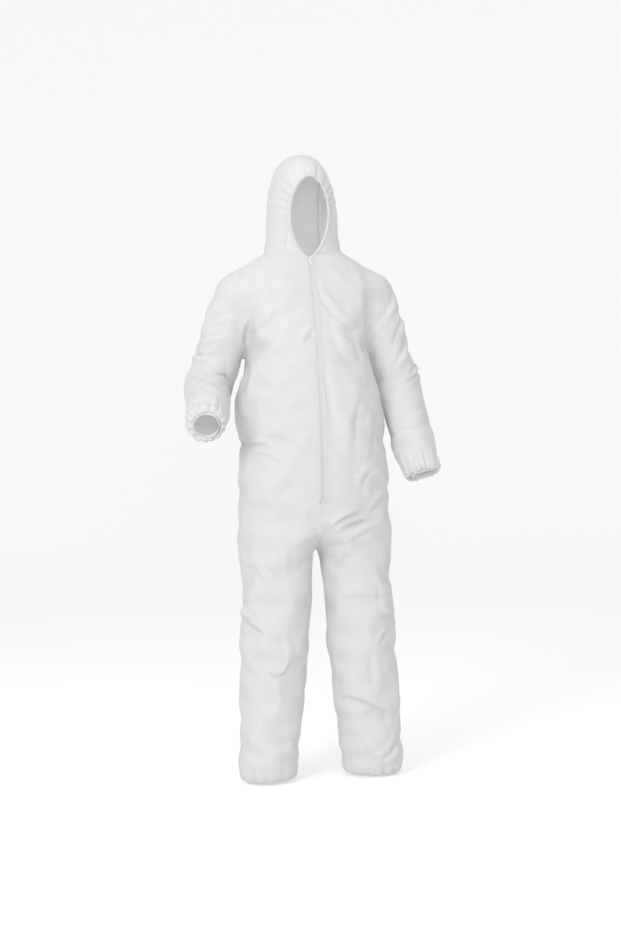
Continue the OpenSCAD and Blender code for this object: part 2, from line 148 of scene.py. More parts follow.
# Outlines in millimetres, as pairs of a height and a half width, front depth or back depth.
BODY_W = [
    (500, 146), (540, 170), (600, 187), (650, 194), (700, 200), (760, 207), (820, 207),
    (860, 203), (900, 199), (927, 196), (960, 199), (1010, 202), (1050, 198), (1090, 187),
    (1120, 177), (1150, 168), (1185, 164), (1225, 166), (1260, 174), (1300, 188), (1345, 200),
    (1380, 197), (1402, 180), (1424, 150), (1440, 121), (1452, 105), (1480, 100),
]
BODY_BACK = [
    (500, 76), (560, 88), (620, 102), (680, 114), (730, 121), (770, 123), (830, 112), (900, 96),
    (930, 91), (1000, 98), (1100, 112), (1200, 122), (1300, 124), (1380, 116), (1425, 102), (1480, 92),
]
HOOD_W = [
    (1420, 100), (1455, 101), (1500, 99), (1550, 97), (1590, 92.5), (1625, 86), (1655, 76),
    (1680, 66), (1700, 50), (1712, 33), (1720, 6),
]
HOOD_FRONT = [
    (1420, 76), (1455, 82), (1500, 97), (1550, 111), (1600, 121), (1645, 124), (1670, 115),
    (1695, 90), (1710, 58), (1720, 6),
]
HOOD_BACK = [
    (1420, 92), (1455, 92), (1500, 98), (1550, 108), (1600, 110), (1650, 98), (1685, 70),
    (1707, 38), (1720, 6),
]
# How far the body's sections stand over to the wearer's left: height, shift.
BODY_SWAY = [(500, 5), (620, 8), (700, 9), (920, 9), (1000, 2), (1040, 0)]
# Leg outline in millimetres: radius, and shift towards +X, at seven places from the hip to the hem.
LEG_SHAPE = {
    "right": [(96, 7), (92, 8), (94, 1), (86, 0), (80.5, 0), (79.5, 0), (79, 0)],
    "left": [(97, 5), (92.5, 7), (92, 5), (89, 2), (84.5, 0), (83, 0), (80, 0)],
}
BODY_MID_Y = 8 * MM
BODY_POWER, HOOD_POWER = 2.35, 2.1
BODY_TOP_Z, HOOD_FOOT_Z = 1.475, 1.425
WAIST_Z = 0.928
HOOD_LEAN, HOOD_LEAN_Z = 7 * MM, 1.56
CROTCH_Z, CROTCH_SLOPE, CROTCH_TIP = 0.640, 1.1, 0.02
# The fabric turns in at the wrists and ankles: how deep, how much is kept, and its rounding.
LIP_DEPTH, LIP_KEPT = 26 * MM, 14 * MM
LIP_GAP, LIP_ROUND = 2.4 * MM, 26 * MM
END_REACH = 0.11
DOWN = np.array([0, 0, -1.0])


def table(z, rows):
    rows = np.array(rows, float) * MM
    return np.interp(z, rows[:, 0], rows[:, 1])


def zip_y(z):
    """Depth of the front centre line at height z."""
    drop = np.clip(z, ZIP_LOW_Z - 0.2, ZIP_TOP_Z + 0.1) - ZIP_PIVOT[2]
    return ZIP_PIVOT[1] - np.sqrt(ZIP_R**2 - drop**2)


def face_half(z):
    """Half width of the face opening at height z."""
    share = np.clip((z - FACE_LOW_Z) / FACE_H, 0, 1)
    low = np.sin(np.pi / 2 * np.clip(share / FACE_WIDEST, 0, 1)) ** 0.65
    high = np.sqrt(np.clip(1 - ((share - FACE_WIDEST) / (1 - FACE_WIDEST)) ** 2, 0, 1))
    return FACE_HALF_W * np.where(share < FACE_WIDEST, low, high)


# ---------------------------------------------------------------- the garment's smooth form


def smooth_min(a, b, k):
    h = np.clip(0.5 + 0.5 * (b - a) / k, 0, 1)
    return b * (1 - h) + a * h - k * h * (1 - h)


def tube(p, stations):
    """Distance to a limb through stations (point, radius)."""
    best = None
    for (a, ra), (b, rb) in zip(stations, stations[1:]):
        d = b - a
        t = np.clip((p - a) @ d / (d @ d), 0, 1)
        dist = np.linalg.norm(p - (a + t[:, None] * d), axis=1) - (ra + (rb - ra) * t)
        best = dist if best is None else smooth_min(best, dist, 6 * MM)
    return best


def oval(p, half_w, front, back, power):
    """Rough distance to a stack of oval sections whose sizes change with height."""
    x, y = p[:, 0], p[:, 1] - BODY_MID_Y
    depth = np.maximum(np.where(y < 0, front + BODY_MID_Y, back - BODY_MID_Y), 5 * MM)
    rho = (np.abs(x / half_w) ** power + np.abs(y / depth) ** power) ** (1 / power)
    return (rho - 1) * np.minimum(half_w, depth)


def arm_stations(limb):
    s, e, w, d = limb["shoulder"], limb["elbow"], limb["wrist"], limb["wrist_dir"]
    return [
        (s - (0, 0, 3 * MM), 0.0665), (s + (e - s) * 0.2, 0.069), (s + (e - s) * 0.4, 0.0675),
        (s + (e - s) * 0.75, 0.061), (e, 0.061), (e + (w - e) * 0.45, 0.057),
        (e + (w - e) * 0.6, 0.0585), (w - d * 0.07, 0.056), (w - d * 0.03, 0.0535), (w, 0.053),
    ]


def leg_stations(side):
    h, k, m = LIMBS[side]["hip"], LIMBS[side]["knee"], LIMBS[side]["hem"]
    centres = [h, (h + k) / 2, k, m + (k - m) * 0.55, m + (k - m) * 0.25, m + (0, 0, 0.06), m]
    return [(at + (shift * MM, 0, 0), radius * MM) for at, (radius, shift) in zip(centres, LEG_SHAPE[side])]


def from_end(p, limb, part):
    """Distance back from a sleeve's or leg's open end, and distance from the axis there."""
    centre, way = (limb["wrist"], limb["wrist_dir"]) if part == "arm" else (limb["hem"], DOWN)
    rel = p - centre
    back = -(rel @ way)
    return back, np.linalg.norm(rel + back[:, None] * way, axis=1)


def tuck_in(whole, p, part):
    """Ends the sleeves or legs in a rounded lip that turns in round a hollow."""
    for limb in LIMBS.values():
        back, away = from_end(p, limb, part)
        radius = (limb["wrist_r"] if part == "arm" else limb["hem_r"]) + LIP_GAP
        near = (away < END_REACH) & (np.abs(back) < END_REACH)
        whole = np.where(near, -smooth_min(-whole, back, LIP_ROUND), whole)
        hollow = np.maximum(away - radius, back - LIP_DEPTH)
        whole = np.where(near, -smooth_min(-whole, hollow, 5 * MM), whole)
    return whole


def garment(p):
    """Signed distance, roughly: negative inside the garment."""
    z = p[:, 2]
    swayed = p - np.outer(table(z, BODY_SWAY), (1, 0, 0))
    body = oval(swayed, table(z, BODY_W), -zip_y(z), table(z, BODY_BACK), BODY_POWER)
    crotch = CROTCH_Z - CROTCH_SLOPE * (np.sqrt(p[:, 0] ** 2 + CROTCH_TIP**2) - CROTCH_TIP)
    body = np.maximum(-smooth_min(-body, z - crotch, 0.1), z - BODY_TOP_Z)
    arms = [tube(p, arm_stations(limb)) for limb in LIMBS.values()]
    legs = [tube(p, leg_stations(side)) for side in SIDES]
    for arm in arms:
        gap = np.interp(z, [1.15, 1.2], [15 * MM, -0.08])
        body = np.maximum(body, gap - arm)
    blend = np.interp(z, [1.17, 1.3], [8 * MM, 34 * MM])
    for arm in arms:
        body = smooth_min(body, arm, blend)
    leaning = p + np.outer(HOOD_LEAN * np.clip((z - HOOD_LEAN_Z) / 0.16, 0, 1), (1, 0, 0))
    hood = oval(leaning, table(z, HOOD_W), table(z, HOOD_FRONT), table(z, HOOD_BACK), HOOD_POWER)
    hood = np.maximum(hood, np.maximum(HOOD_FOOT_Z - z, z - TOP_Z))
    body = smooth_min(body, hood, 10 * MM)
    thighs = np.minimum(legs[0], legs[1])
    whole = smooth_min(body, thighs, np.interp(z, [0.5, 0.68], [20 * MM, 45 * MM]))
    return tuck_in(tuck_in(whole, p, "arm"), p, "leg")


def surface_net(field, low, high, step):
    """Quads round the zero level of field, one vertex to a grid cell."""
    axes = [np.arange(a, b + step, step) for a, b in zip(low, high)]
    grid = np.stack(np.meshgrid(*axes, indexing="ij"), -1)
    value = field(grid.reshape(-1, 3)).reshape(grid.shape[:3])
    value[value == 0] = 1e-9
    n = np.array(value.shape) - 1
    corner = {}
    for c in np.ndindex(2, 2, 2):
        corner[c] = value[c[0] : c[0] + n[0], c[1] : c[1] + n[1], c[2] : c[2] + n[2]]
    total = np.zeros((*n, 3))
    count = np.zeros(n)
    for axis in range(3):
        for c in np.ndindex(2, 2, 2):
            if c[axis]:
                continue
            other = tuple(1 if i == axis else c[i] for i in range(3))
            a, b = corner[c], corner[other]
            cross = (a < 0) != (b < 0)
            t = np.where(cross, a / np.where(cross, a - b, 1), 0)
            at = np.array(c, float) + np.zeros((*n, 3))
            at[..., axis] = t
            total[cross] += at[cross]
            count += cross
    live = count > 0
    index = np.full(n, -1)
    index[live] = np.arange(live.sum())
    verts = np.argwhere(live) + total[live] / count[live][:, None]
    verts = verts * step + np.array([a[0] for a in axes])
    faces = []
    for axis in range(3):
        u, v = (axis + 1) % 3, (axis + 2) % 3
        a = np.take(value, range(value.shape[axis] - 1), axis) < 0
        b = np.take(value, range(1, value.shape[axis]), axis) < 0
        for flip in (False, True):
            at = np.argwhere((a & ~b) if not flip else (~a & b))
            at = at[(at[:, u] > 0) & (at[:, v] > 0) & (at[:, u] < n[u]) & (at[:, v] < n[v])]
            ring = []
            for du, dv in ((1, 1), (0, 1), (0, 0), (1, 0)):
                cell = at.copy()
                cell[:, u] -= du
                cell[:, v] -= dv
                ring.append(index[cell[:, 0], cell[:, 1], cell[:, 2]])
            quad = np.stack(ring, 1)
            faces.append(quad[:, ::-1] if flip else quad)
    return verts, np.concatenate(faces)


def neighbour_mean(verts, edges):
    total = np.zeros_like(verts)
    count = np.zeros(len(verts))
    for a, b in ((0, 1), (1, 0)):
        np.add.at(total, edges[:, a], verts[edges[:, b]])
        np.add.at(count, edges[:, a], 1)
    return total / count[:, None]


def smooth(places, edges, rounds, amount=0.5):
    for _ in range(rounds):
        places = places + amount * (neighbour_mean(places, edges) - places)
    return places


def pull_to_field(verts, field, limit):
    """Moves each vertex onto the zero level along the slope."""
    e = 1 * MM
    here = field(verts)
    slope = np.stack([(field(verts + d) - here) / e for d in np.eye(3) * e], 1)
    move = -here[:, None] * slope / np.maximum((slope**2).sum(1), 0.2)[:, None]
    size = np.linalg.norm(move, axis=1)
    return verts + move * np.minimum(1, limit / np.maximum(size, 1e-9))[:, None]


def mesh_object(name, verts, faces):
    mesh = bpy.data.meshes.new(name)
    mesh.from_pydata(np.asarray(verts).tolist(), [], [list(map(int, f)) for f in faces])
    mesh.validate()
    obj = bpy.data.objects.new(name, mesh)
    bpy.context.scene.collection.objects.link(obj)
    return obj


def coords(mesh):
    out = np.empty(len(mesh.vertices) * 3)
    mesh.vertices.foreach_get("co", out)
    return out.reshape(-1, 3)


def edge_pairs(mesh):
    out = np.empty(len(mesh.edges) * 2, int)
    mesh.edges.foreach_get("vertices", out)
    return out.reshape(-1, 2)


STEP = 10 * MM


def base_form():
    low = np.array(cad_box[0]) - 0.05
    high = np.array(cad_box[1]) + 0.05
    verts, quads = surface_net(garment, low, high, STEP)
    obj = mesh_object("form", verts, quads)
    pairs = edge_pairs(obj.data)
    for _ in range(6):
        verts = pull_to_field(smooth(verts, pairs, 1, 0.6), garment, STEP / 2)
    obj.data.vertices.foreach_set("co", verts.ravel())
    obj.data.update()
    return obj, verts


form, rest = base_form()

# ---------------------------------------------------------------- cloth


def ramp(x, low, high):
    t = np.clip((x - low) / (high - low), 0, 1)
    return t * t * (3 - 2 * t)


def limb_of(p, name):
    """Distance back from the open end of the point's own sleeve or leg, and 9 off the limbs."""
    out = np.full(len(p), 9.0)
    for side, sign in SIDES.items():
        limb = LIMBS[side]
        if name == "arm":
            near = tube(p, [(limb["elbow"], 0.06), (limb["wrist"], 0.05)]) < 0.011
            along = (limb["wrist"] - p) @ limb["wrist_dir"]
        else:
            near = (p[:, 0] * sign > 0) & (p[:, 2] < 0.5)
            along = p[:, 2]
        out = np.where(near, np.minimum(out, along), out)
    return out


def front_edges(p):
    """Sideways distance from the zip, and from where its pull hangs, for points on the front."""
    on = (p[:, 1] < 0) & (p[:, 2] > ZIP_LOW_Z - PULL_REACH) & (p[:, 2] < FACE_LOW_Z + 0.01)
    return np.where(on, np.abs(p[:, 0]), 9.0)


def face_rim(p):
    """Sideways distance outside the face opening's edge."""
    return np.where((p[:, 1] < 0) & (p[:, 2] > FACE_LOW_Z - 0.01), face_distance(p), 9.0)


def face_distance(p):
    half = face_half(p[:, 2])
    over = np.maximum(p[:, 2] - FACE_LOW_Z - FACE_H, FACE_LOW_Z - p[:, 2])
    return np.where(over > 0, np.hypot(np.abs(p[:, 0]), over), np.abs(p[:, 0]) - half)


def hold_weight(p):
    """How firmly each point keeps its place while the cloth settles."""
    z = p[:, 2]
    hold = np.full(len(p), 0.18)
    hold = np.maximum(hold, 1 - ramp(front_edges(p), 0.006, 0.05))
    hold = np.maximum(hold, 1 - ramp(face_rim(p), 0.0, 0.03))
    hold = np.maximum(hold, 1 - ramp(limb_of(p, "arm"), 0.012, 0.05))
    hold = np.maximum(hold, 1 - ramp(limb_of(p, "leg"), 0.012, 0.06))
    shoulder_top = ramp(z, 1.36, 1.40) * 0.5
    return np.maximum(hold, shoulder_top)


def taut_weight(p):
    """1 where elastic or a seam keeps the fabric from slackening."""
    taut = 1 - ramp(front_edges(p), 0.01, 0.06)
    taut = np.maximum(taut, 0.5 * ramp(p[:, 2], NECK_Z - 0.01, NECK_Z + 0.02))
    return np.maximum(taut, 0.7 * (1 - ramp(np.abs(p[:, 2] - 0.83), 0.1, 0.2)) * (p[:, 1] < 0))


CLOTH_FRAMES = 16
CLOTH_CAP = 24 * MM


def settle(obj, p):
    """Lets the slack fabric buckle and hang, and returns the new places."""
    for name, weights in (("hold", hold_weight(p)), ("taut", taut_weight(p))):
        group = obj.vertex_groups.new(name=name)
        for i, w in enumerate(weights):
            group.add([i], float(w), "REPLACE")
    cloth = obj.modifiers.new("cloth", "CLOTH")
    kit = cloth.settings
    kit.quality = 5
    kit.mass = 0.06
    kit.air_damping = 4
    kit.tension_stiffness = 22
    kit.compression_stiffness = 22
    kit.shear_stiffness = 9
    kit.bending_stiffness = 9
    kit.vertex_group_mass = "hold"
    kit.pin_stiffness = 1.0
    kit.vertex_group_shrink = "taut"
    kit.shrink_min = -0.045
    kit.shrink_max = -0.01
    kit.use_pressure = True
    kit.uniform_pressure_force = 0.4
    kit.effector_weights.gravity = 0.6
    cloth.collision_settings.use_collision = False
    for number in range(1, CLOTH_FRAMES + 1):
        bpy.context.scene.frame_set(number)
    graph = bpy.context.evaluated_depsgraph_get()
    moved = coords(obj.evaluated_get(graph).to_mesh())
    obj.evaluated_get(graph).to_mesh_clear()
    obj.modifiers.remove(cloth)
    bpy.context.scene.frame_set(1)
    shift = smooth(moved - p, edge_pairs(obj.data), 2)
    shift *= np.interp(p[:, 2], [0.3, 0.75], [0.6, 0.8])[:, None]
    size = np.linalg.norm(shift, axis=1)
    return p + shift * (np.minimum(1, CLOTH_CAP / np.maximum(size, 1e-9)))[:, None]


settled = settle(form, rest)

# ---------------------------------------------------------------- finer mesh


def corner_edges(faces):
    """The ends of the edge that leaves each corner of each face, lower number first."""
    return np.sort(np.stack([faces, np.roll(faces, -1, 1)], -1), -1).reshape(-1, 2)


def refine(quads, data):
    """Splits each quad in four. The rows of data are values at the vertices."""
    keys = corner_edges(quads)
    keys, slots = np.unique(keys[:, 0] * len(data) + keys[:, 1], return_inverse=True)
    edges = np.stack([keys // len(data), keys % len(data)], 1)
    slots = slots.reshape(-1, 4) + len(data)
    centre = len(data) + len(edges) + np.arange(len(quads))
    out = [np.stack([quads[:, i], slots[:, i], centre, slots[:, i - 1]], 1) for i in range(4)]
    return np.concatenate(out), np.concatenate([data, data[edges].mean(1), data[quads].mean(1)])


def edge_list(faces, count):
    """The edges of faces, and for each face the edge that leaves each corner."""
    ends = corner_edges(faces)
    keys, slots = np.unique(ends[:, 0] * count + ends[:, 1], return_inverse=True)
    return np.stack([keys // count, keys % count], 1), slots.reshape(faces.shape)


def divide(tris, data, chosen, edges, slots, place):
    """Adds a point on each edge whose place is a number, and divides the chosen triangles there."""
    live = ~np.isnan(place)
    made = np.full(len(edges), -1)
    made[live] = len(data) + np.arange(live.sum())
    a, b = data[edges[live, 0]], data[edges[live, 1]]
    data = np.concatenate([data, a + (b - a) * place[live][:, None]])
    t, m = tris[chosen], made[slots]
    count = (m >= 0).sum(1)
    out = [tris[~chosen], t[count == 0]]
    for number in (1, 2):
        rows = count == number
        tt, mm = t[rows], m[rows]
        first = np.argmax((mm >= 0) == (number == 1), 1)
        turn = (first[:, None] + np.arange(3)) % 3
        row = np.arange(len(tt))[:, None]
        (t0, t1, t2), (m0, m1, m2) = tt[row, turn].T, mm[row, turn].T
        if number == 1:
            out += [np.stack([t0, m0, t2], 1), np.stack([m0, t1, t2], 1)]
        else:
            out += [np.stack([m1, t2, m2], 1), np.stack([t0, t1, m1], 1), np.stack([t0, m1, m2], 1)]
    (t0, t1, t2), (m0, m1, m2) = t[count == 3].T, m[count == 3].T
    out += [np.stack(c, 1) for c in ((t0, m0, m2), (m0, t1, m1), (m2, m1, t2), (m0, m1, m2))]
    return np.concatenate(out), data


def halve(tris, data, where):
    """Halves the edges of the triangles picked by where, a test on rest places."""
    inside = where(data[:, 3:6])[tris].any(1)
    touched = np.zeros(len(data), bool)
    touched[tris[inside]] = True
    chosen = touched[tris].any(1)
    edges, slots = edge_list(tris[chosen], len(data))
    split = np.zeros(len(edges), bool)
    split[slots[inside[chosen]]] = True
    return divide(tris, data, chosen, edges, slots, np.where(split, 0.5, np.nan))


SNAP = 0.22


def cut(tris, data, field):
    """Divides the triangles along the zero line of field, a value at rest places."""
    value = field(data[:, 3:6])
    near = value[tris]
    chosen = (near.min(1) < 0) & (near.max(1) > 0)
    edges, slots = edge_list(tris[chosen], len(data))
    a, b = value[edges[:, 0]], value[edges[:, 1]]
    cross = a * b < 0
    t = np.where(cross, a / np.where(cross, a - b, 1), 0)
    data = data.copy()
    for end, share in ((0, t), (1, 1 - t)):
        close = cross & (share < SNAP)
        here, there = edges[close, end], edges[close, 1 - end]
        data[here] += (data[there] - data[here]) * share[close][:, None]
        value[here] = 0
    a, b = value[edges[:, 0]], value[edges[:, 1]]
    cross = a * b < 0
    place = np.where(cross, a / np.where(cross, a - b, 1), np.nan)
    return divide(tris, data, chosen, edges, slots, place)


def vertex_normals(places, tris):
    a, b, c = places[tris[:, 0]], places[tris[:, 1]], places[tris[:, 2]]
    face = np.cross(b - a, c - a)
    out = np.zeros_like(places)
    for i in range(3):
        np.add.at(out, tris[:, i], face)
    return out / np.maximum(np.linalg.norm(out, axis=1), 1e-12)[:, None]


# ---------------------------------------------------------------- folds and gathers


def bump(x, width):
    """A smooth hump of height 1 that ends at +-width."""
    t = np.clip(1 - (x / width) ** 2, 0, 1)
    return t * t


def wander(p, size, seed):
    """Smooth seeded noise, about -1 to 1, that changes over lengths of size."""
    pick = np.random.default_rng(seed)
    total = np.zeros(len(p))
    for _ in range(9):
        way = unit(pick.normal(size=3)) * 2 * np.pi / size * pick.uniform(0.6, 1.3)
        total += np.sin(p @ way + pick.uniform(0, 6.28))
    return total / 3


# Folds on the front, in millimetres: (x, z) of both ends, bow sideways, half width, height.
# A fold is a raised ridge with a hollow along its lower side.
FOLDS = [
    (-45, 1190, -8, 1235, 4, 15, 5.0),
    (-116, 1122, -18, 1140, 8, 17, 5.0),
    (20, 1358, 118, 1232, -16, 17, 5.0),
    (-172, 1270, -188, 1200, 5, 13, 6.0),
    (-160, 1240, -110, 1290, -8, 15, 3.5),
    (-176, 1190, -60, 1215, 12, 22, 4.0),
    (-150, 1120, -60, 1060, -14, 26, 3.5),
    (60, 1250, 130, 1130, -20, 26, 4.0),
    (120, 1230, 160, 1120, -12, 20, 5.0),
    (30, 1130, 62, 900, 6, 26, 4.5),
    (96, 1060, 70, 880, 8, 22, 4.0),
    (140, 1000, 110, 860, -8, 24, 3.5),
    (-200, 932, -120, 915, 10, 12, 7.0),
    (-195, 912, -100, 880, 10, 18, 4.5),
    (-120, 960, -20, 900, 10, 30, 4.0),
    (24, 700, 108, 735, 10, 12, 8.0),
    (38, 684, 150, 712, 14, 13, 8.5),
    (60, 654, 172, 700, 8, 16, 4.5),
    (128, 728, 190, 790, 6, 16, 6.5),
    (96, 800, 140, 862, 8, 18, 5.0),
    (150, 840, 196, 800, 6, 20, 4.0),
    (-34, 760, 6, 690, 8, 24, 3.5),
    (-100, 650, -84, 560, -8, 20, 5.0),
    (-150, 640, -60, 560, -14, 26, 3.5),
    (-216, 488, -158, 420, -6, 15, 8.0),
    (-218, 440, -170, 455, 4, 13, -5.0),
    (-120, 420, -96, 340, 12, 20, 4.5),
    (-158, 316, -100, 330, -16, 12, 8.0),
    (-140, 300, -134, 180, 6, 24, 4.0),
    (-200, 250, -150, 140, 14, 24, 3.0),
    (150, 560, 176, 470, 10, 20, 5.0),
    (160, 462, 212, 452, -6, 14, 9.0),
    (150, 372, 190, 410, 6, 12, 7.0),
    (146, 350, 158, 250, -4, 20, 5.0),
    (56, 232, 150, 196, 10, 13, 9.0),
    (148, 206, 184, 150, 12, 16, 8.0),
    (136, 60, 196, 130, -16, 17, 7.0),
    (160, 40, 205, 90, -10, 14, 6.0),
    (90, 150, 130, 60, 12, 24, 3.0),
]

# Folds on the sleeves: limb, share along it, angle round it in degrees (0 faces the front),
# slant in degrees, half length, half width and height in millimetres.
SLEEVE_FOLDS = [
    ("right", "upper", 0.30, 40, 35, 70, 14, 4.5),
    ("right", "upper", 0.52, 55, 30, 80, 13, 5.5),
    ("right", "upper", 0.72, 60, 12, 70, 12, 7.0),
    ("right", "upper", 0.86, -20, -14, 60, 11, 7.5),
    ("right", "upper", 0.95, 20, 8, 80, 11, 6.5),
    ("right", "fore", 0.16, 10, -10, 70, 11, 6.0),
    ("right", "fore", 0.34, 70, 12, 55, 12, 5.0),
    ("left", "upper", 0.22, 30, -42, 80, 14, 5.0),
    ("left", "upper", 0.45, 50, -50, 90, 15, 5.5),
    ("left", "upper", 0.70, 40, -40, 80, 13, 7.0),
    ("left", "upper", 0.92, 60, -30, 60, 11, 7.5),
    ("left", "fore", 0.08, 40, -34, 70, 12, 7.0),
    ("left", "fore", 0.26, -20, 24, 60, 14, 4.5),
    ("left", "fore", 0.40, 40, -18, 50, 12, 4.0),
]


def ridge_shape(across, width):
    """A rounded crest with a sharper hollow beside it."""
    return bump(across, width) - 0.75 * bump(across + width * 0.95, width * 0.62)


def front_folds(p):
    """Height of the folds on the front at rest places."""
    x, z = p[:, 0], p[:, 2]
    total = np.zeros(len(p))
    front = ramp(-p[:, 1], -0.03, 0.02)
    for row in FOLDS:
        x0, z0, x1, z1, bow, width, height = np.array(row) * MM
        a, b = np.array([x0, z0]), np.array([x1, z1])
        way = unit(b - a)
        side = np.array([-way[1], way[0]])
        if side[1] < 0:
            side = -side
        length = np.linalg.norm(b - a)
        rel = np.stack([x - a[0], z - a[1]], 1)
        along = (rel @ way) / length
        across = rel @ side - bow * (1 - (2 * along - 1) ** 2)
        taper = bump(np.clip(2 * along - 1, -1.4, 1.4), 1.35)
        total += height * taper * ridge_shape(across, width) * front
    return total


def limb_frame(p, limb, part):
    """Distance along a part of the arm, angle round it, and the part's length."""
    a, b = (limb["shoulder"], limb["elbow"]) if part == "upper" else (limb["elbow"], limb["wrist"])
    way = unit(b - a)
    front = unit(np.array([0, -1.0, 0]) - way * -way[1])
    out = np.cross(way, front)
    out *= np.sign(out[0]) * np.sign(limb["elbow"][0])
    rel = p - a
    along = rel @ way
    return along, np.arctan2(rel @ out, rel @ front), np.linalg.norm(b - a)


def sleeve_folds(p, arm_near):
    total = np.zeros(len(p))
    for side, part, share, angle, slant, reach, width, height in SLEEVE_FOLDS:
        limb = LIMBS[side]
        along, turn, length = limb_frame(p, limb, part)
        around = (turn - math.radians(angle) + np.pi) % (2 * np.pi) - np.pi
        u, v = around * 0.06, along - share * length
        c, s = math.cos(math.radians(slant)), math.sin(math.radians(slant))
        run, across = u * c + v * s, -u * s + v * c
        taper = bump(run, reach * MM)
        on = (p[:, 0] * SIDES[side] > 0) * ramp(0.014 - arm_near, 0, 0.008)
        total += height * MM * taper * ridge_shape(across, width * MM) * on
    return total


def pleats(turn, count, seed, sharp=0.5):
    """Uneven pleats round a gathered edge, about -1 to 1."""
    pick = np.random.default_rng(seed)
    phase = turn * count
    for order in (1, 2, 3, 5):
        phase = phase + pick.uniform(0.5, 1.3) * np.sin(order * turn + pick.uniform(0, 6.28))
    wave = np.cos(phase)
    return wave - sharp * np.cos(2 * phase + pick.uniform(0, 1))


def gathers(p):
    """Height of the gathers at the wrists, ankles, waist and face."""
    total = np.zeros(len(p))
    arm_end = limb_of(p, "arm")
    for number, (side, limb) in enumerate(LIMBS.items()):
        turn = limb_frame(p, limb, "fore")[1]
        on = (p[:, 0] * SIDES[side] > 0) & (arm_end < 0.2)
        _, away = from_end(p, limb, "arm")
        outside = ramp(away, limb["wrist_r"] + 0.003, limb["wrist_r"] + 0.012)
        reach = ramp(0.085 - arm_end, 0, 0.075) * on * outside
        total += 2.2 * MM * reach * pleats(turn, 15, 3 + number)
        total -= 2.4 * MM * bump(arm_end - 0.030, 0.014) * on * outside
        rel = p - limb["hem"]
        turn = np.arctan2(rel[:, 1], rel[:, 0] * SIDES[side])
        on = (p[:, 0] * SIDES[side] > 0) & (p[:, 2] < 0.2)
        reach = ramp(0.11 - p[:, 2], 0, 0.1) * on
        _, away = from_end(p, limb, "leg")
        reach = reach * ramp(away, limb["hem_r"] + 0.003, limb["hem_r"] + 0.014)
        outer = 0.5 + 0.5 * np.cos(turn + (0.6 if side == "left" else 0.0))
        total += (0.7 + 2.4 * outer) * MM * reach * pleats(turn, 11, 7 + number)
    behind = ramp(np.abs(p[:, 0]) + p[:, 1] * 0.8, 0.11, 0.2) * ramp(arm_distance(p), 0.012, 0.03)
    turn = np.arctan2(p[:, 0], -p[:, 1])
    total += 2.6 * MM * bump(p[:, 2] - WAIST_Z, 0.075) * behind * pleats(turn, 46, 31)
    total -= 3.4 * MM * bump(p[:, 2] - WAIST_Z, 0.014) * behind
    out = face_rim(p)
    middle = FACE_LOW_Z + FACE_H * 0.5
    turn = np.arctan2(p[:, 0], p[:, 2] - middle)
    upper = ramp(p[:, 2], FACE_LOW_Z + FACE_H * 0.35, FACE_LOW_Z + FACE_H * 0.8)
    left = 0.55 + 0.45 * ramp(p[:, 0], -0.03, 0.05)
    rim = bump(out - 0.008, 0.062) * (out < 1)
    return total + 2.6 * MM * rim * upper * left * pleats(turn, 26, 41, 0.3)


def arm_distance(p):
    return np.minimum(*(tube(p, arm_stations(limb)) for limb in LIMBS.values()))


def soft_noise(p):
    """Broad slackness and fine crumple over all the fabric."""
    calm = 0.35 + 0.65 * ramp(front_edges(p), 0.02, 0.08)
    calm = calm * (0.5 + 0.5 * ramp(NECK_Z - p[:, 2], -0.03, 0.05))
    broad = wander(p * (1, 1, 0.55), 0.16, 51) * 2.2 * MM
    fine = wander(p, 0.035, 52) * 0.35 * MM
    crease = np.abs(wander(p * (1, 1, 0.7), 0.085, 53))
    return calm * (broad + fine - 0.6 * MM * (1 - ramp(crease, 0, 0.5)))


# The rows of sheet are a point's settled place, its rest place and, later, its normal.
quads = np.array([list(f.vertices) for f in form.data.polygons])
quads, sheet = refine(quads, np.concatenate([settled, rest], 1))
quad_edges, _ = edge_list(quads, len(sheet))
sheet = smooth(sheet, quad_edges, 3)
tris = np.concatenate([quads[:, [0, 1, 2]], quads[:, [0, 2, 3]]])


def fine_zone(p):
    return (limb_of(p, "arm") < 0.07) | (limb_of(p, "leg") < 0.06) | (face_rim(p) < 0.03)


tris, sheet = halve(tris, sheet, fine_zone)
origin = sheet[:, 3:6]
lift = front_folds(origin) + sleeve_folds(origin, arm_distance(origin))
lift = lift + gathers(origin) + soft_noise(origin)
below_zip = ZIP_LOW_Z - origin[:, 2]
under_pull = (1 - ramp(front_edges(origin), 0.006, 0.02)) * ramp(below_zip, -0.02, -0.01)
lift -= np.maximum(lift, 0) * under_pull * ramp(PULL_REACH - below_zip, 0, 0.015)
sheet[:, :3] += vertex_normals(sheet[:, :3], tris) * lift[:, None]
tri_edges, _ = edge_list(tris, len(sheet))
sheet[:, :3] = smooth(sheet[:, :3], tri_edges, 1, 0.35)
sheet = np.concatenate([sheet, vertex_normals(sheet[:, :3], tris)], 1)

# ---------------------------------------------------------------- cutting lines

# The armhole's outline above the underarm: height and distance from the middle, in millimetres.
ARM_LINE = [
    (1150, 163), (1165, 166), (1208, 179), (1238, 201), (1266, 211), (1300, 212), (1346, 203),
    (1375, 191), (1395, 180), (1420, 176), (1480, 176),
]
ARM_BORDER = 7.5 * MM
# Half width of the hood's centre panel, heights of the leg pieces, and where the sleeve is cut:
# above the elbow, and as a share of the forearm.
HOOD_LINE = 0.064
THIGH_TOP, SHIN_TOP = 0.76, 0.50
UPPER_END = 0.02
SEAM_SHARE = 0.55
SIDE_Y = 8 * MM


def armhole(p):
    """Above zero on the sleeves, about in metres from the armhole seam."""
    low = ARM_BORDER - arm_distance(p)
    high = np.abs(p[:, 0]) - table(p[:, 2], ARM_LINE)
    share = ramp(p[:, 2], 1.165, 1.2)
    return low + (high - low) * share


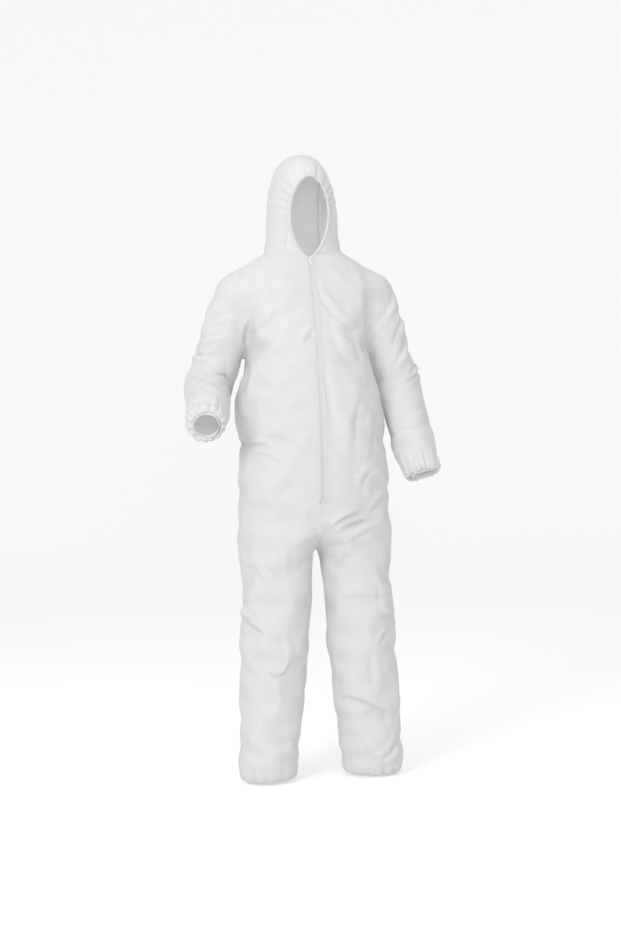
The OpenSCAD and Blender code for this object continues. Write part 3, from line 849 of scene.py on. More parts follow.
def end_cut(p, part):
    """Below zero on the part of the turned-in fabric that is cut away."""
    out = np.ones(len(p))
    for limb in LIMBS.values():
        back, away = from_end(p, limb, part)
        radius = limb["wrist_r"] if part == "arm" else limb["hem_r"]
        on = (away < radius + 4 * LIP_GAP) & (back < 2 * LIP_DEPTH) & (back > -LIP_DEPTH)
        out = np.where(on, LIP_KEPT - back, out)
    return out


def sleeve_cut(p, side, centre, way):
    """Above zero past a plane square to way, on one sleeve only."""
    on = (armhole(p) > -0.005) & (p[:, 0] * SIDES[side] > 0)
    return np.where(on, (p - centre) @ unit(way), -1)


def elbow_cut(p, side):
    limb = LIMBS[side]
    way = limb["elbow"] - limb["shoulder"]
    return sleeve_cut(p, side, limb["elbow"] - unit(way) * UPPER_END, way)


def forearm_cut(p, side):
    limb = LIMBS[side]
    way = limb["wrist"] - limb["elbow"]
    return sleeve_cut(p, side, limb["elbow"] + way * SEAM_SHARE, way)


def forearm_axes(side):
    """The forearm's under side and the side that faces the body."""
    limb = LIMBS[side]
    fore = unit(limb["wrist"] - limb["elbow"])
    hinge = unit(np.cross(limb["elbow"] - limb["shoulder"], fore))
    return unit(np.cross(hinge, fore)), -hinge if hinge[0] * SIDES[side] > 0 else hinge


def sleeve_line(p, side, part):
    """Zero along the sleeve's long seam."""
    if part == "sleeve_upper":
        return p[:, 1] - (0.03 if side == "right" else 0.0)
    return (p - LIMBS[side]["elbow"]) @ forearm_axes(side)[0]


def slit(p):
    on = (p[:, 1] < -0.03) & (p[:, 2] < FACE_LOW_Z + 0.05)
    return np.where(on, np.maximum(np.abs(p[:, 0]) - ZIP_HALF_GAP, ZIP_LOW_Z - p[:, 2]), 1)


def opening(p):
    return np.where((p[:, 1] < 0) & (p[:, 2] > FACE_LOW_Z - 0.03), face_distance(p), 1)


def side_line(p):
    return p[:, 1] - SIDE_Y


def hood_line(p):
    return np.where(p[:, 2] > NECK_Z - 0.03, np.abs(p[:, 0]) - HOOD_LINE, 1)


CUTS = [
    lambda p: end_cut(p, "arm"),
    lambda p: end_cut(p, "leg"),
    opening,
    slit,
    lambda p: p[:, 2] - NECK_Z,
    armhole,
    lambda p: elbow_cut(p, "right"),
    lambda p: elbow_cut(p, "left"),
    lambda p: forearm_cut(p, "right"),
    lambda p: forearm_cut(p, "left"),
    side_line,
    hood_line,
    lambda p: p[:, 0],
    lambda p: p[:, 2] - THIGH_TOP,
    lambda p: p[:, 2] - SHIN_TOP,
]

for field in CUTS:
    tris, sheet = cut(tris, sheet, field)
tips = sheet[:, 6:9]
sheet[:, 6:9] = tips / np.maximum(np.linalg.norm(tips, axis=1), 1e-9)[:, None]

# ---------------------------------------------------------------- names of the pieces


def both(part):
    """A part's two pieces."""
    return [f"{part}_right", f"{part}_left"]


CUT_AWAY = ["off_arm", "off_leg", "off_face", "off_slit"]
NAMES = CUT_AWAY + ["hood_centre"]
for part in ("hood_side", "front_torso", "back_torso", "front_thigh", "back_thigh", "front_shin",
             "back_shin", "sleeve_upper", "sleeve_elbow", "sleeve_end"):
    NAMES += both(part)
CODE = {name: i for i, name in enumerate(NAMES)}


def label(p):
    """The piece each rest place belongs to, as its place in NAMES."""
    left = p[:, 0] > 0
    front = side_line(p) < 0
    z = p[:, 2]

    def pick(part):
        return np.where(left, CODE[f"{part}_left"], CODE[f"{part}_right"])

    out = np.where(front, pick("front_torso"), pick("back_torso"))
    out = np.where(z < THIGH_TOP, np.where(front, pick("front_thigh"), pick("back_thigh")), out)
    out = np.where(z < SHIN_TOP, np.where(front, pick("front_shin"), pick("back_shin")), out)
    out = np.where(z > NECK_Z, np.where(hood_line(p) < 0, CODE["hood_centre"], pick("hood_side")), out)
    below = np.where(left, elbow_cut(p, "left"), elbow_cut(p, "right"))
    past = np.where(left, forearm_cut(p, "left"), forearm_cut(p, "right"))
    lower = np.where(past < 0, pick("sleeve_elbow"), pick("sleeve_end"))
    sleeve = np.where(below < 0, pick("sleeve_upper"), lower)
    out = np.where((armhole(p) > 0) & (z < NECK_Z), sleeve, out)
    out = np.where(slit(p) < 0, CODE["off_slit"], out)
    out = np.where(opening(p) < 0, CODE["off_face"], out)
    out = np.where(end_cut(p, "leg") < 0, CODE["off_leg"], out)
    return np.where(end_cut(p, "arm") < 0, CODE["off_arm"], out)


middle = sheet[tris, 3:6].mean(1)
piece_of = label(middle)
# The edge that leaves each triangle corner, as one number.
ends = corner_edges(tris)
edge_keys = ends[:, 0] * len(sheet) + ends[:, 1]

# ---------------------------------------------------------------- building pieces


def new_mesh(name, verts, faces, normals=None):
    mesh = bpy.data.meshes.new(name)
    mesh.from_pydata(np.asarray(verts).tolist(), [], [list(map(int, f)) for f in faces])
    mesh.polygons.foreach_set("use_smooth", np.ones(len(mesh.polygons), bool))
    if normals is not None:
        mesh.normals_split_custom_set_from_vertices(np.asarray(normals).tolist())
    obj = bpy.data.objects.new(name, mesh)
    bpy.context.scene.collection.objects.link(obj)
    return obj


def open_edges(faces):
    """The edges used by one triangle only, in that triangle's direction."""
    a = np.stack([faces, np.roll(faces, -1, 1)], -1).reshape(-1, 2)
    keys = a.min(1) * (faces.max() + 1) + a.max(1)
    _, first, count = np.unique(keys, return_index=True, return_counts=True)
    return a[first[count == 1]]


def fabric(name, chosen, thick):
    """A closed sheet of cloth from the chosen triangles."""
    used, faces = np.unique(tris[chosen], return_inverse=True)
    faces = faces.reshape(-1, 3)
    places, normal = sheet[used, :3], sheet[used, 6:9]
    n = len(used)
    rim = open_edges(faces)
    walls = np.stack([rim[:, 1], rim[:, 0], rim[:, 0] + n, rim[:, 1] + n], 1)
    verts = np.concatenate([places, places - normal * thick])
    all_faces = faces.tolist() + (faces[:, ::-1] + n).tolist() + walls.tolist()
    return new_mesh(name, verts, all_faces, np.concatenate([normal, -normal]))


def chains(edges):
    """Orders edges into open or closed runs of vertex numbers."""
    links = {}
    for a, b in edges:
        links.setdefault(int(a), []).append(int(b))
        links.setdefault(int(b), []).append(int(a))
    runs = []
    left = set(links)
    ends = [v for v in links if len(links[v]) != 2]
    for start in ends + sorted(links):
        if start not in left:
            continue
        run = [start]
        left.discard(start)
        while True:
            onward = [v for v in links[run[-1]] if v in left]
            if not onward:
                break
            run.append(onward[0])
            left.discard(onward[0])
        closed = len(run) > 3 and run[0] in links[run[-1]]
        runs.append((run, closed))
    return runs


def between(first, second, test=None):
    """Runs of vertices on the border between two lists of piece names."""
    wanted = np.zeros(len(NAMES), int)
    for name in first:
        wanted[CODE[name]] = 1
    for name in second:
        wanted[CODE[name]] += 2
    who = np.repeat(wanted[piece_of], 3)
    return long_runs(np.intersect1d(edge_keys[who == 1], edge_keys[who == 2]), test)


def long_runs(keys, test=None, least=0.04):
    """Runs longer than least, as settled places, normals and whether the run is closed."""
    edges = np.stack([keys // len(sheet), keys % len(sheet)], 1)
    if test is not None:
        edges = edges[test(sheet[edges[:, 0], 3:6])]
    out = []
    for run, closed in chains(edges):
        places = sheet[run, :3]
        length = np.linalg.norm(np.diff(places, axis=0), axis=1).sum()
        if length > least:
            out.append((places, sheet[run, 6:9], closed))
    return out


def even_run(places, normal, closed, step):
    """Smooths a run and spaces its points evenly."""
    data = np.concatenate([places, normal], 1)
    for _ in range(3):
        if closed:
            data = 0.5 * data + 0.25 * (np.roll(data, 1, 0) + np.roll(data, -1, 0))
        else:
            data[1:-1] = 0.5 * data[1:-1] + 0.25 * (data[:-2] + data[2:])
    if closed:
        data = np.concatenate([data, data[:1]])
    gaps = np.linalg.norm(np.diff(data[:, :3], axis=0), axis=1)
    at = np.concatenate([[0], np.cumsum(gaps)])
    count = max(4, int(round(at[-1] / step)))
    want = np.linspace(0, at[-1], count + 1)
    data = np.stack([np.interp(want, at, c) for c in data.T], 1)
    if closed:
        data, want = data[:-1], want[:-1]
    p, n = data[:, :3], data[:, 3:]
    if closed:
        way = np.roll(p, -1, 0) - np.roll(p, 1, 0)
    else:
        way = np.gradient(p, axis=0)
    way /= np.maximum(np.linalg.norm(way, axis=1), 1e-9)[:, None]
    n = n - (n * way).sum(1)[:, None] * way
    n /= np.maximum(np.linalg.norm(n, axis=1), 1e-9)[:, None]
    return p, n, np.cross(way, n), want


def grid_faces(rows, cols, closed):
    """Quads between rings of cols points. A closed grid joins its last ring to its first."""
    i, j = np.meshgrid(np.arange(rows if closed else rows - 1), np.arange(cols), indexing="ij")
    i, j = i.ravel(), j.ravel()
    after, turn = (i + 1) % rows, (j + 1) % cols
    return np.stack([i * cols + j, i * cols + turn, after * cols + turn, after * cols + j], 1).tolist()


def sweep(run, section, step=3 * MM, pucker=0.0, pitch=5 * MM, seed=0):
    """A closed section, rows of (across, up), carried along a run of surface points."""
    places, normal, closed = run
    p, n, side, along = even_run(places, normal, closed, step)
    section = np.array(section, float)
    wave = 1 + pucker * (np.sin(along / pitch * 2 * np.pi) + 0.6 * np.sin(along / pitch * 4.4 + seed))
    across = section[:, 0][None, :]
    up = section[:, 1][None, :] * wave[:, None]
    verts = p[:, None] + side[:, None] * across[..., None] + n[:, None] * up[..., None]
    rows, cols = len(p), len(section)
    faces = grid_faces(rows, cols, closed)
    if not closed:
        faces.append(list(range(cols))[::-1])
        faces.append([(rows - 1) * cols + k for k in range(cols)])
    return verts.reshape(-1, 3), faces


def merge(parts):
    verts, faces, base = [], [], 0
    for v, f in parts:
        verts.append(v)
        faces += [[k + base for k in face] for face in f]
        base += len(v)
    return np.concatenate(verts), faces


def right_way_out(obj):
    bm = bmesh.new()
    bm.from_mesh(obj.data)
    bmesh.ops.recalc_face_normals(bm, faces=bm.faces)
    bm.to_mesh(obj.data)
    bm.free()


def oval_section(half_w, half_h, base=0.0, count=10, power=1.0):
    turn = np.arange(count) / count * 2 * np.pi
    c, s = (np.sign(v) * np.abs(v) ** power for v in (np.cos(turn), np.sin(turn)))
    return np.stack([half_w * c, base + half_h * s], 1)


THREAD = oval_section(1.5 * MM, 0.6 * MM, 0.05 * MM)
FLAT = oval_section(5.4 * MM, 0.6 * MM, 0.25 * MM, 16, 0.45)


def seam(name, runs, section=THREAD, pucker=0.22, **more):
    """One piece made of a section swept along each run."""
    strips = [sweep(run, section, pucker=pucker, seed=k, **more) for k, run in enumerate(runs)]
    obj = new_mesh(name, *merge(strips))
    right_way_out(obj)
    return obj


# A blend runs between two planes: the direction square to them (for the left side), and the
# distance of each plane from the origin along it.
UPWARD = (0, 0, 1)
BLENDS = {
    "hood": ("torso", "hood", UPWARD, NECK_Z, NECK_Z + 0.17),
    "sleeve_upper": ("torso", "upper_arm", (0.85, 0, -0.53), -0.474, -0.418),
    "thigh": ("torso", "thigh", (0.5, 0, -0.866), -0.5516, -0.423),
    "shin": ("thigh", "shin", UPWARD, 0.43, 0.30),
}
ELBOW_R, SEAM_R, ELBOW_REACH = 0.066, 0.064, 0.085


def elbow_planes(side):
    """The blend planes of an elbow, clear of both cuts where the sleeve keeps to these radii."""
    limb = LIMBS[side]
    arm, fore = unit(limb["elbow"] - limb["shoulder"]), unit(limb["wrist"] - limb["elbow"])
    way = unit(arm + fore)
    half = math.acos(float(arm @ fore)) / 2
    first = -UPPER_END * math.cos(half) + ELBOW_R * math.sin(half)
    length = np.linalg.norm(limb["wrist"] - limb["elbow"])
    last = SEAM_SHARE * length * math.cos(half) - SEAM_R * math.sin(half)
    here = float(limb["elbow"] @ way)
    return way, here + first, here + min(last, first + ELBOW_REACH)


def follow(obj, part, side=None):
    """Joins a torso piece or a sleeve's end to the body it moves with. Other pieces stay unjoined: it works
    out their two bodies and blend planes, which nothing uses, and only bakes their transform.
    """
    if part == "torso":
        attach(obj, "torso")
        return
    if part == "sleeve_end":
        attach(obj, f"forearm_{side}")
        return
    if part == "sleeve_elbow":
        first, second = "upper_arm", "forearm"
        way, start, end = elbow_planes(side)
    else:
        first, second, way, start, end = BLENDS[part]
        way = unit(np.array(way, float) * (SIDES.get(side, 1), 1, 1))
    first, second = (name if name in ("torso", "hood") else f"{name}_{side}" for name in (first, second))
    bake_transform(obj)


FILM_THICK = 0.9 * MM
for name in NAMES[len(CUT_AWAY):]:
    piece = fabric(f"{name}_film", piece_of == CODE[name], FILM_THICK)
    side = name.rsplit("_", 1)[1]
    part = name.rsplit("_", 1)[0].replace("front_", "").replace("back_", "")
    part = "hood" if name.startswith("hood") else part
    follow(piece, part, side)
    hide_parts(name)
    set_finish(piece, "film")
bpy.data.objects.remove(form)

# ---------------------------------------------------------------- seams, hems and edges


def add_thread(name, runs, part, side, node=None):
    """A serged seam along the runs, which stands in for a CAD node when one is named."""
    obj = seam(name, runs)
    follow(obj, part, side)
    if node:
        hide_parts(node)
    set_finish(obj, "seam")


TORSO = both("front_torso") + both("back_torso")
HOOD = ["hood_centre"] + both("hood_side")
UNDERARM_Z = 1.3
centre_back = between(["back_torso_right"], ["back_torso_left"])
rise = between(["front_thigh_right", "back_thigh_right"], ["front_thigh_left", "back_thigh_left"])
add_thread("neck_seam_thread", between(TORSO, HOOD), "torso", None, "neck_seam")
add_thread("centre_back_thread", centre_back, "torso", None, "centre_back_seam")
add_thread("hood_seam_thread", between(["hood_centre"], both("hood_side")), "hood", None, "hood_seams")
add_thread("rise_seam_thread", rise, "torso", None)
for side in SIDES:
    torso = [f"front_torso_{side}", f"back_torso_{side}"]
    armhole_runs = between(torso, [f"sleeve_upper_{side}"])
    add_thread(f"armhole_thread_{side}", armhole_runs, "torso", side, f"armhole_seam_{side}")
    flank = between(torso[:1], torso[1:], lambda p: p[:, 2] < UNDERARM_Z)
    shoulder = between(torso[:1], torso[1:], lambda p: p[:, 2] > UNDERARM_Z)
    add_thread(f"side_thread_{side}", flank, "torso", side, f"side_seam_{side}")
    add_thread(f"shoulder_thread_{side}", shoulder, "torso", side, f"shoulder_seam_{side}")
    runs = between([f"sleeve_elbow_{side}"], [f"sleeve_end_{side}"])
    add_thread(f"forearm_thread_{side}", runs, "sleeve_end", side, f"forearm_seam_{side}")
    for part in ("thigh", "shin"):
        runs = between([f"front_{part}_{side}"], [f"back_{part}_{side}"])
        add_thread(f"{part}_thread_{side}", runs, part, side, f"{part}_seams_{side}")

# The long seam down the inner side of each sleeve.
SLEEVE_SEAMS = {
    "sleeve_upper": "sleeve_seam_upper",
    "sleeve_elbow": None,
    "sleeve_end": "sleeve_seam_lower",
}


def inner_arm(p, side, part):
    """Picks the side of the sleeve that faces the body."""
    if part == "sleeve_upper":
        return np.abs(p[:, 0]) < np.interp(p[:, 2], [0.9, 1.1, 1.2], [0.27, 0.25, 0.22])
    return (p - LIMBS[side]["elbow"]) @ forearm_axes(side)[1] > 0


for side in SIDES:
    for part, seam_node in SLEEVE_SEAMS.items():
        on = np.repeat(piece_of == CODE[f"{part}_{side}"], 3)
        rear = np.repeat(sleeve_line(middle, side, part) > 0, 3)
        line = np.intersect1d(edge_keys[on & rear], edge_keys[on & ~rear])
        runs = long_runs(line, lambda p: inner_arm(p, side, part))
        add_thread(f"{part}_thread_{side}", runs, part, side, f"{seam_node}_{side}" if seam_node else None)

# Hems: the rolled edge round the face and the folded facings beside the zip.
ROLL = oval_section(3.3 * MM, 2.4 * MM, -0.2 * MM, 14)
face_runs = between(HOOD + both("front_torso"), ["off_face"])
rim = seam("face_hem", face_runs, ROLL, pucker=0.10, pitch=7 * MM)
follow(rim, "hood")
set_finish(rim, "film")
FACING_SHIFT = 4.6 * MM
for side, sign in SIDES.items():
    runs = between([f"front_torso_{side}"], ["off_slit"], lambda p: np.abs(p[:, 0]) > 3 * MM)
    facing = seam(f"zip_facing_{side}", runs, FLAT, pucker=0.08, pitch=9 * MM)
    facing.data.transform(Matrix.Translation((sign * FACING_SHIFT, 0, 0)))
    follow(facing, "torso")
    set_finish(facing, "film")

# ---------------------------------------------------------------- elastic


def ribbed_ring(name, centre, way, inner, thick, length, ribs):
    """A ribbed elastic band round an opening, running back from centre."""
    way = unit(way)
    first = unit(np.cross(way, [0.3, 0.5, 0.8]))
    second = np.cross(way, first)
    turns, rows = ribs * 6, 10
    angle = np.arange(turns) / turns * 2 * np.pi
    around = np.cos(angle)[:, None] * first + np.sin(angle)[:, None] * second
    profile = [(inner, -length * k / rows) for k in range(rows + 1)]
    for k in range(rows + 1):
        swell = 0.55 + 0.45 * math.sin(math.pi * k / rows) ** 0.5
        profile.append((inner + thick * swell, -length * (1 - k / rows)))
    verts = []
    for radius, back in profile:
        rib = RIB_H * np.cos(angle * ribs) if radius > inner else 0.0 * angle
        verts.append(centre + way * back + (radius + rib)[:, None] * around)
    obj = new_mesh(name, np.concatenate(verts), grid_faces(len(profile), turns, True))
    right_way_out(obj)
    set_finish(obj, "elastic")
    return obj


RIB_H = 0.35 * MM
BAND_SET_BACK, BAND_THICK = 4 * MM, 1.8 * MM
WRIST_BAND_W, WRIST_RIBS = 14 * MM, 54
ANKLE_BAND_W, ANKLE_RIBS = 16 * MM, 80
for side, limb in LIMBS.items():
    band = ribbed_ring(f"wrist_band_{side}", limb["wrist"] - limb["wrist_dir"] * BAND_SET_BACK,
                       limb["wrist_dir"], limb["wrist_r"], BAND_THICK, WRIST_BAND_W, WRIST_RIBS)
    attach(band, f"forearm_{side}")
    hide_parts(f"wrist_elastic_{side}")
    foot = ribbed_ring(f"ankle_band_{side}", limb["hem"] - DOWN * BAND_SET_BACK,
                       DOWN, limb["hem_r"], BAND_THICK, ANKLE_BAND_W, ANKLE_RIBS)
    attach(foot, f"shin_{side}")
    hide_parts(f"ankle_elastic_{side}")

TAPE = oval_section(4.5 * MM, 0.5 * MM, -1.9 * MM, 14, 0.45)
band = seam("face_elastic", face_runs, TAPE, pucker=0.12, pitch=4 * MM)
follow(band, "hood")
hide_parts("hood_elastic")
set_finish(band, "elastic")

# ---------------------------------------------------------------- zip


def arc_place(angle, ahead=0.0):
    """A point on the zip's arc, moved forward by ahead. The angle is 0 level with the pivot."""
    r = ZIP_R + ahead
    angle = np.asarray(angle, float)
    return np.stack([0 * angle, ZIP_PIVOT[1] - r * np.cos(angle), ZIP_PIVOT[2] + r * np.sin(angle)], -1)


def arc_angle(z):
    return math.asin((z - ZIP_PIVOT[2]) / ZIP_R)


top_angle, low_angle = arc_angle(ZIP_TOP_Z), arc_angle(ZIP_LOW_Z + 4 * MM)
turns = np.linspace(low_angle, top_angle, 240)
centre_line = arc_place(turns, -1.6 * MM)
forward = arc_place(turns, 1.0) - arc_place(turns)


def zip_run(x):
    return (centre_line + (x, 0, 0), forward, False)


WEAVE = oval_section(6.0 * MM, 0.35 * MM, -0.5 * MM, 18, 0.3)
TAPE_X = 6.6 * MM
for side, sign in SIDES.items():
    strip = sweep(zip_run(sign * TAPE_X), WEAVE, 2.5 * MM, 0.04, 4 * MM)
    tape = new_mesh(f"zip_tape_weave_{side}", *strip)
    right_way_out(tape)
    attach(tape, "torso")
    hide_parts(f"zip_tape_{side}")
    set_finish(tape, "tape")


def ball(turns, rows):
    """A unit ball: rings of points between two poles."""
    spin = np.arange(turns) / turns * 2 * np.pi
    verts = [np.array([[0, 0, 1.0]])]
    for polar in np.pi * np.arange(1, rows) / rows:
        height = np.full(turns, np.cos(polar))
        verts.append(np.stack([np.sin(polar) * np.cos(spin), np.sin(polar) * np.sin(spin), height], 1))
    verts.append(np.array([[0, 0, -1.0]]))
    last = 1 + (rows - 1) * turns
    faces = [[k + 1 for k in quad] for quad in grid_faces(rows - 1, turns, False)]
    for k in range(turns):
        after = (k + 1) % turns
        faces += [[0, 1 + k, 1 + after], [last - turns + k, last, last - turns + after]]
    return np.concatenate(verts), faces


COIL_PITCH, COIL_X = 2.4 * MM, 1.15 * MM
COIL_AHEAD = -0.9 * MM
BEAD_SIZE = np.array([1.75, 1.0, 0.85]) * MM
bead, bead_faces = ball(8, 5)
for side, sign in SIDES.items():
    count = int((top_angle - low_angle) * ZIP_R / COIL_PITCH)
    parts = []
    for k in range(count):
        angle = low_angle + (k + 0.5 * (sign > 0) + 0.3) * COIL_PITCH / ZIP_R
        up = (0, math.sin(angle), math.cos(angle))
        out = (0, -math.cos(angle), math.sin(angle))
        axes = np.array([(1, 0, 0), out, up]) * BEAD_SIZE[:, None]
        spot = arc_place(angle, COIL_AHEAD) + (sign * COIL_X, 0, 0)
        parts.append((bead @ axes + spot, bead_faces))
    coil = new_mesh(f"zip_coil_beads_{side}", *merge(parts))
    right_way_out(coil)
    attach(coil, "torso")
    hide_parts(f"zip_coil_{side}")
    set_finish(coil, "zip_plastic")

# The waist elastic lies inside the back.
WAIST_INSET = 9 * MM
turn = np.linspace(math.radians(20), math.radians(160), 120)
half_w = float(table(WAIST_Z, BODY_W)) - WAIST_INSET
depth = float(table(WAIST_Z, BODY_BACK)) - WAIST_INSET - BODY_MID_Y
back_y = BODY_MID_Y + depth * np.sin(turn) ** 0.85
spots = np.stack([half_w * np.cos(turn), back_y, 0 * turn + WAIST_Z], 1)
outward = np.stack([np.cos(turn), np.sin(turn), 0 * turn], 1)
WAIST_TAPE = oval_section(7 * MM, 0.7 * MM, 0, 18, 0.4)
waist = seam("waist_band", [(spots, outward, False)], WAIST_TAPE, pucker=0.35, pitch=5 * MM)
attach(waist, "torso")
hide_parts("waist_elastic")
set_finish(waist, "elastic")

# ---------------------------------------------------------------- materials


def node(tree, kind, **values):
    out = tree.nodes.new(kind)
    for key, value in values.items():
        if key in out.inputs:
            out.inputs[key].default_value = value
        else:
            setattr(out, key, value)
    return out


def material(name, color, rough, sheen=0.0):
    mat = bpy.data.materials.new(name)
    mat.use_nodes = True
    shader = mat.node_tree.nodes["Principled BSDF"]
    shader.inputs["Base Color"].default_value = (*color, 1)
    shader.inputs["Roughness"].default_value = rough
    shader.inputs["Sheen Weight"].default_value = sheen
    place = node(mat.node_tree, "ShaderNodeTexCoord")
    return mat, mat.node_tree, shader, place.outputs["Object"]


def raise_by(tree, height, strength, distance, base=None):
    """Adds a bump on top of base and returns its normal."""
    out = node(tree, "ShaderNodeBump", Strength=strength, Distance=distance)
    tree.links.new(height, out.inputs["Height"])
    if base is not None:
        tree.links.new(base, out.inputs["Normal"])
    return out.outputs["Normal"]


def layered(name, color, rough, sheen, layers):
    """A material whose bumps are layers of (texture, strength, depth in metres, its values)."""
    mat, tree, shader, place = material(name, color, rough, sheen)
    normal, heights = None, []
    for kind, strength, depth, values in layers:
        texture = node(tree, f"ShaderNodeTex{kind}", **values)
        tree.links.new(place, texture.inputs["Vector"])
        heights.append(texture.outputs["Distance" if kind == "Voronoi" else "Fac"])
        normal = raise_by(tree, heights[-1], strength, depth, normal)
    tree.links.new(normal, shader.inputs["Normal"])
    return mat, tree, shader, normal, heights


# White nonwoven laminate: fine crumple, soft creases, point-bonded emboss and fibres.
FILM_LAYERS = [
    ("Noise", 0.5, 0.0022, {"Scale": 26.0, "Detail": 5.0, "Roughness": 0.55}),
    ("Noise", 0.16, 0.0016,
     {"Scale": 9.0, "Detail": 4.0, "Roughness": 0.5, "noise_type": "RIDGED_MULTIFRACTAL"}),
    ("Voronoi", 0.35, 0.00018, {"Scale": 620.0, "Randomness": 0.25}),
    ("Noise", 0.25, 0.00006, {"Scale": 1900.0, "Detail": 2.0}),
]
THREAD_LAYERS = [
    ("Voronoi", 0.7, 0.0005, {"Scale": 420.0, "Randomness": 0.5}),
    ("Noise", 0.3, 0.0001, {"Scale": 900.0, "Detail": 2.0}),
]
ELASTIC_LAYERS = [
    ("Voronoi", 0.8, 0.0004, {"Scale": 800.0, "Randomness": 0.15}),
    ("Noise", 0.3, 0.0001, {"Scale": 1500.0, "Detail": 3.0}),
]
TAPE_LAYERS = [
    ("Wave", 0.6, 0.0002, {"Scale": 260.0, "Distortion": 0.3, "bands_direction": "Z"}),
    ("Wave", 0.4, 0.00015, {"Scale": 300.0, "Distortion": 0.2, "bands_direction": "X"}),
]
PLASTIC_LAYERS = [("Noise", 0.15, 0.0001, {"Scale": 700.0, "Detail": 3.0})]


def film_material():
    """The film's layers with an uneven tone and gloss, and a little light through it."""
    mat, tree, shader, normal, heights = layered("film", (0.8, 0.805, 0.81), 0.62, 0.1, FILM_LAYERS)
    tone = node(tree, "ShaderNodeMixRGB", blend_type="MIX")
    tone.inputs[1].default_value = (0.79, 0.795, 0.805, 1)
    tone.inputs[2].default_value = (0.845, 0.848, 0.85, 1)
    tree.links.new(heights[0], tone.inputs[0])
    tree.links.new(tone.outputs[0], shader.inputs["Base Color"])
    rough = node(tree, "ShaderNodeMapRange")
    rough.inputs["To Min"].default_value = 0.52
    rough.inputs["To Max"].default_value = 0.72
    tree.links.new(heights[2], rough.inputs["Value"])
    tree.links.new(rough.outputs["Result"], shader.inputs["Roughness"])
    through = node(tree, "ShaderNodeBsdfTranslucent", Color=(0.97, 0.97, 0.975, 1))
    tree.links.new(normal, through.inputs["Normal"])
    mix = node(tree, "ShaderNodeMixShader", Fac=0.42)
    tree.links.new(shader.outputs[0], mix.inputs[1])
    tree.links.new(through.outputs[0], mix.inputs[2])
    tree.links.new(mix.outputs[0], tree.nodes["Material Output"].inputs["Surface"])
    return mat


MATERIALS = {
    "film": film_material(),
    "seam": layered("seam", (0.7, 0.703, 0.71), 0.7, 0.1, THREAD_LAYERS)[0],
    "elastic": layered("elastic", (0.84, 0.84, 0.825), 0.75, 0.3, ELASTIC_LAYERS)[0],
    "tape": layered("tape", (0.83, 0.835, 0.84), 0.7, 0.1, TAPE_LAYERS)[0],
    "zip_plastic": layered("zip_plastic", (0.82, 0.823, 0.83), 0.34, 0.0, PLASTIC_LAYERS)[0],
}
hard_shader = MATERIALS["zip_plastic"].node_tree.nodes["Principled BSDF"]
hard_shader.inputs["Coat Weight"].default_value = 0.15
HARD_NODES = ["zip_top_stops", "zip_bottom_stop", "zip_slider", "zip_pull"]
for name in HARD_NODES:
    part = frame["nodes"][name]
    part.data.materials.clear()
    part.data.materials.append(MATERIALS["zip_plastic"])
    round_off = part.modifiers.new("rounding", "BEVEL")
    round_off.width = 0.35 * MM
    round_off.segments = 2
    round_off.limit_method = "ANGLE"
    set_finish(part, "zip_plastic")
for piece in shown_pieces():
    if piece.get("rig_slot") in MATERIALS and piece.name not in HARD_NODES:
        piece.data.materials.clear()
        piece.data.materials.append(MATERIALS[piece["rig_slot"]])

# ---------------------------------------------------------------- floor, light and camera

FLOOR_R, WALL_CURVE, WALL_H, FLOOR_Z = 9.0, 2.5, 7.0, -0.002
FLOOR_SIDES, CURVE_STEPS = 96, 12
rings = [(0.01, FLOOR_Z), (FLOOR_R - WALL_CURVE, FLOOR_Z)]
for k in range(1, CURVE_STEPS + 1):
    bend = math.pi / 2 * k / CURVE_STEPS
    radius = FLOOR_R - WALL_CURVE * (1 - math.sin(bend))
    rings.append((radius, FLOOR_Z + WALL_CURVE * (1 - math.cos(bend))))
rings.append((FLOOR_R, WALL_H))
verts = []
for radius, z in rings:
    for angle in np.arange(FLOOR_SIDES) / FLOOR_SIDES * 2 * np.pi:
        verts.append((radius * math.cos(angle), radius * math.sin(angle), z))
faces = [list(range(FLOOR_SIDES))] + grid_faces(len(rings), FLOOR_SIDES, False)
floor = new_mesh("studio_floor", verts, faces)
right_way_out(floor)
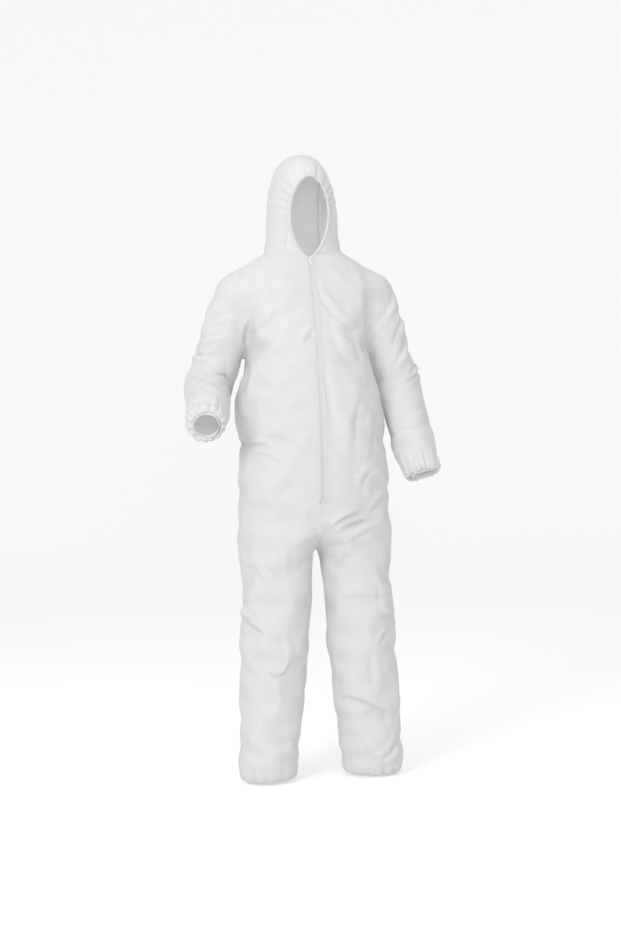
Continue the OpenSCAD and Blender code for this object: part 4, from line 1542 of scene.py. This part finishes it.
floor.visible_diffuse = False
floor.visible_shadow = False
paper, _, shine, _ = material("paper", (0.93, 0.93, 0.935), 0.9)
shine.inputs["Emission Color"].default_value = (1, 1, 1, 1)
shine.inputs["Emission Strength"].default_value = 0.2
floor.data.materials.append(paper)


def area_light(name, place, target, size, power):
    data = bpy.data.lights.new(name, "AREA")
    data.shape = "SQUARE"
    data.size = size
    data.energy = power
    lamp = bpy.data.objects.new(name, data)
    bpy.context.scene.collection.objects.link(lamp)
    lamp.location = place
    lamp.rotation_euler = (Vector(target) - Vector(place)).to_track_quat("-Z", "Y").to_euler()


area_light("key", (-2.9, -3.2, 2.2), (0, 0, 0.95), 1.4, 64)
area_light("top", (-0.4, -0.8, 4.2), (0, 0, 0.9), 2.4, 16)
area_light("front", (-0.7, -4.6, 1.5), (0, 0, 1.0), 0.9, 34)
world = bpy.data.worlds.new("studio")
bpy.context.scene.world = world
world.use_nodes = True
world.node_tree.nodes["Background"].inputs[0].default_value = (1, 1, 1, 1)
world.node_tree.nodes["Background"].inputs[1].default_value = 0.74
bpy.context.scene.view_settings.view_transform = "Standard"

VIEW_TURN, VIEW_ROLL = math.radians(12), math.radians(1.94)
VIEW_DISTANCE, VIEW_HEIGHT, VIEW_LENS = 4.2, 0.86, 58.6
ahead = Vector((math.sin(VIEW_TURN), math.cos(VIEW_TURN), 0))
across = Vector((math.cos(VIEW_TURN), -math.sin(VIEW_TURN), 0))
upward = Vector((0, 0, 1))
cam_right = across * math.cos(VIEW_ROLL) - upward * math.sin(VIEW_ROLL)
cam_up = across * math.sin(VIEW_ROLL) + upward * math.cos(VIEW_ROLL)
camera_data = bpy.data.cameras.new("camera")
camera_data.lens = VIEW_LENS
camera = bpy.data.objects.new("camera", camera_data)
bpy.context.scene.collection.objects.link(camera)
turn = Matrix((cam_right, cam_up, -ahead)).transposed().to_4x4()
camera.matrix_world = Matrix.Translation(-ahead * VIEW_DISTANCE + upward * VIEW_HEIGHT) @ turn
bpy.context.scene.camera = camera
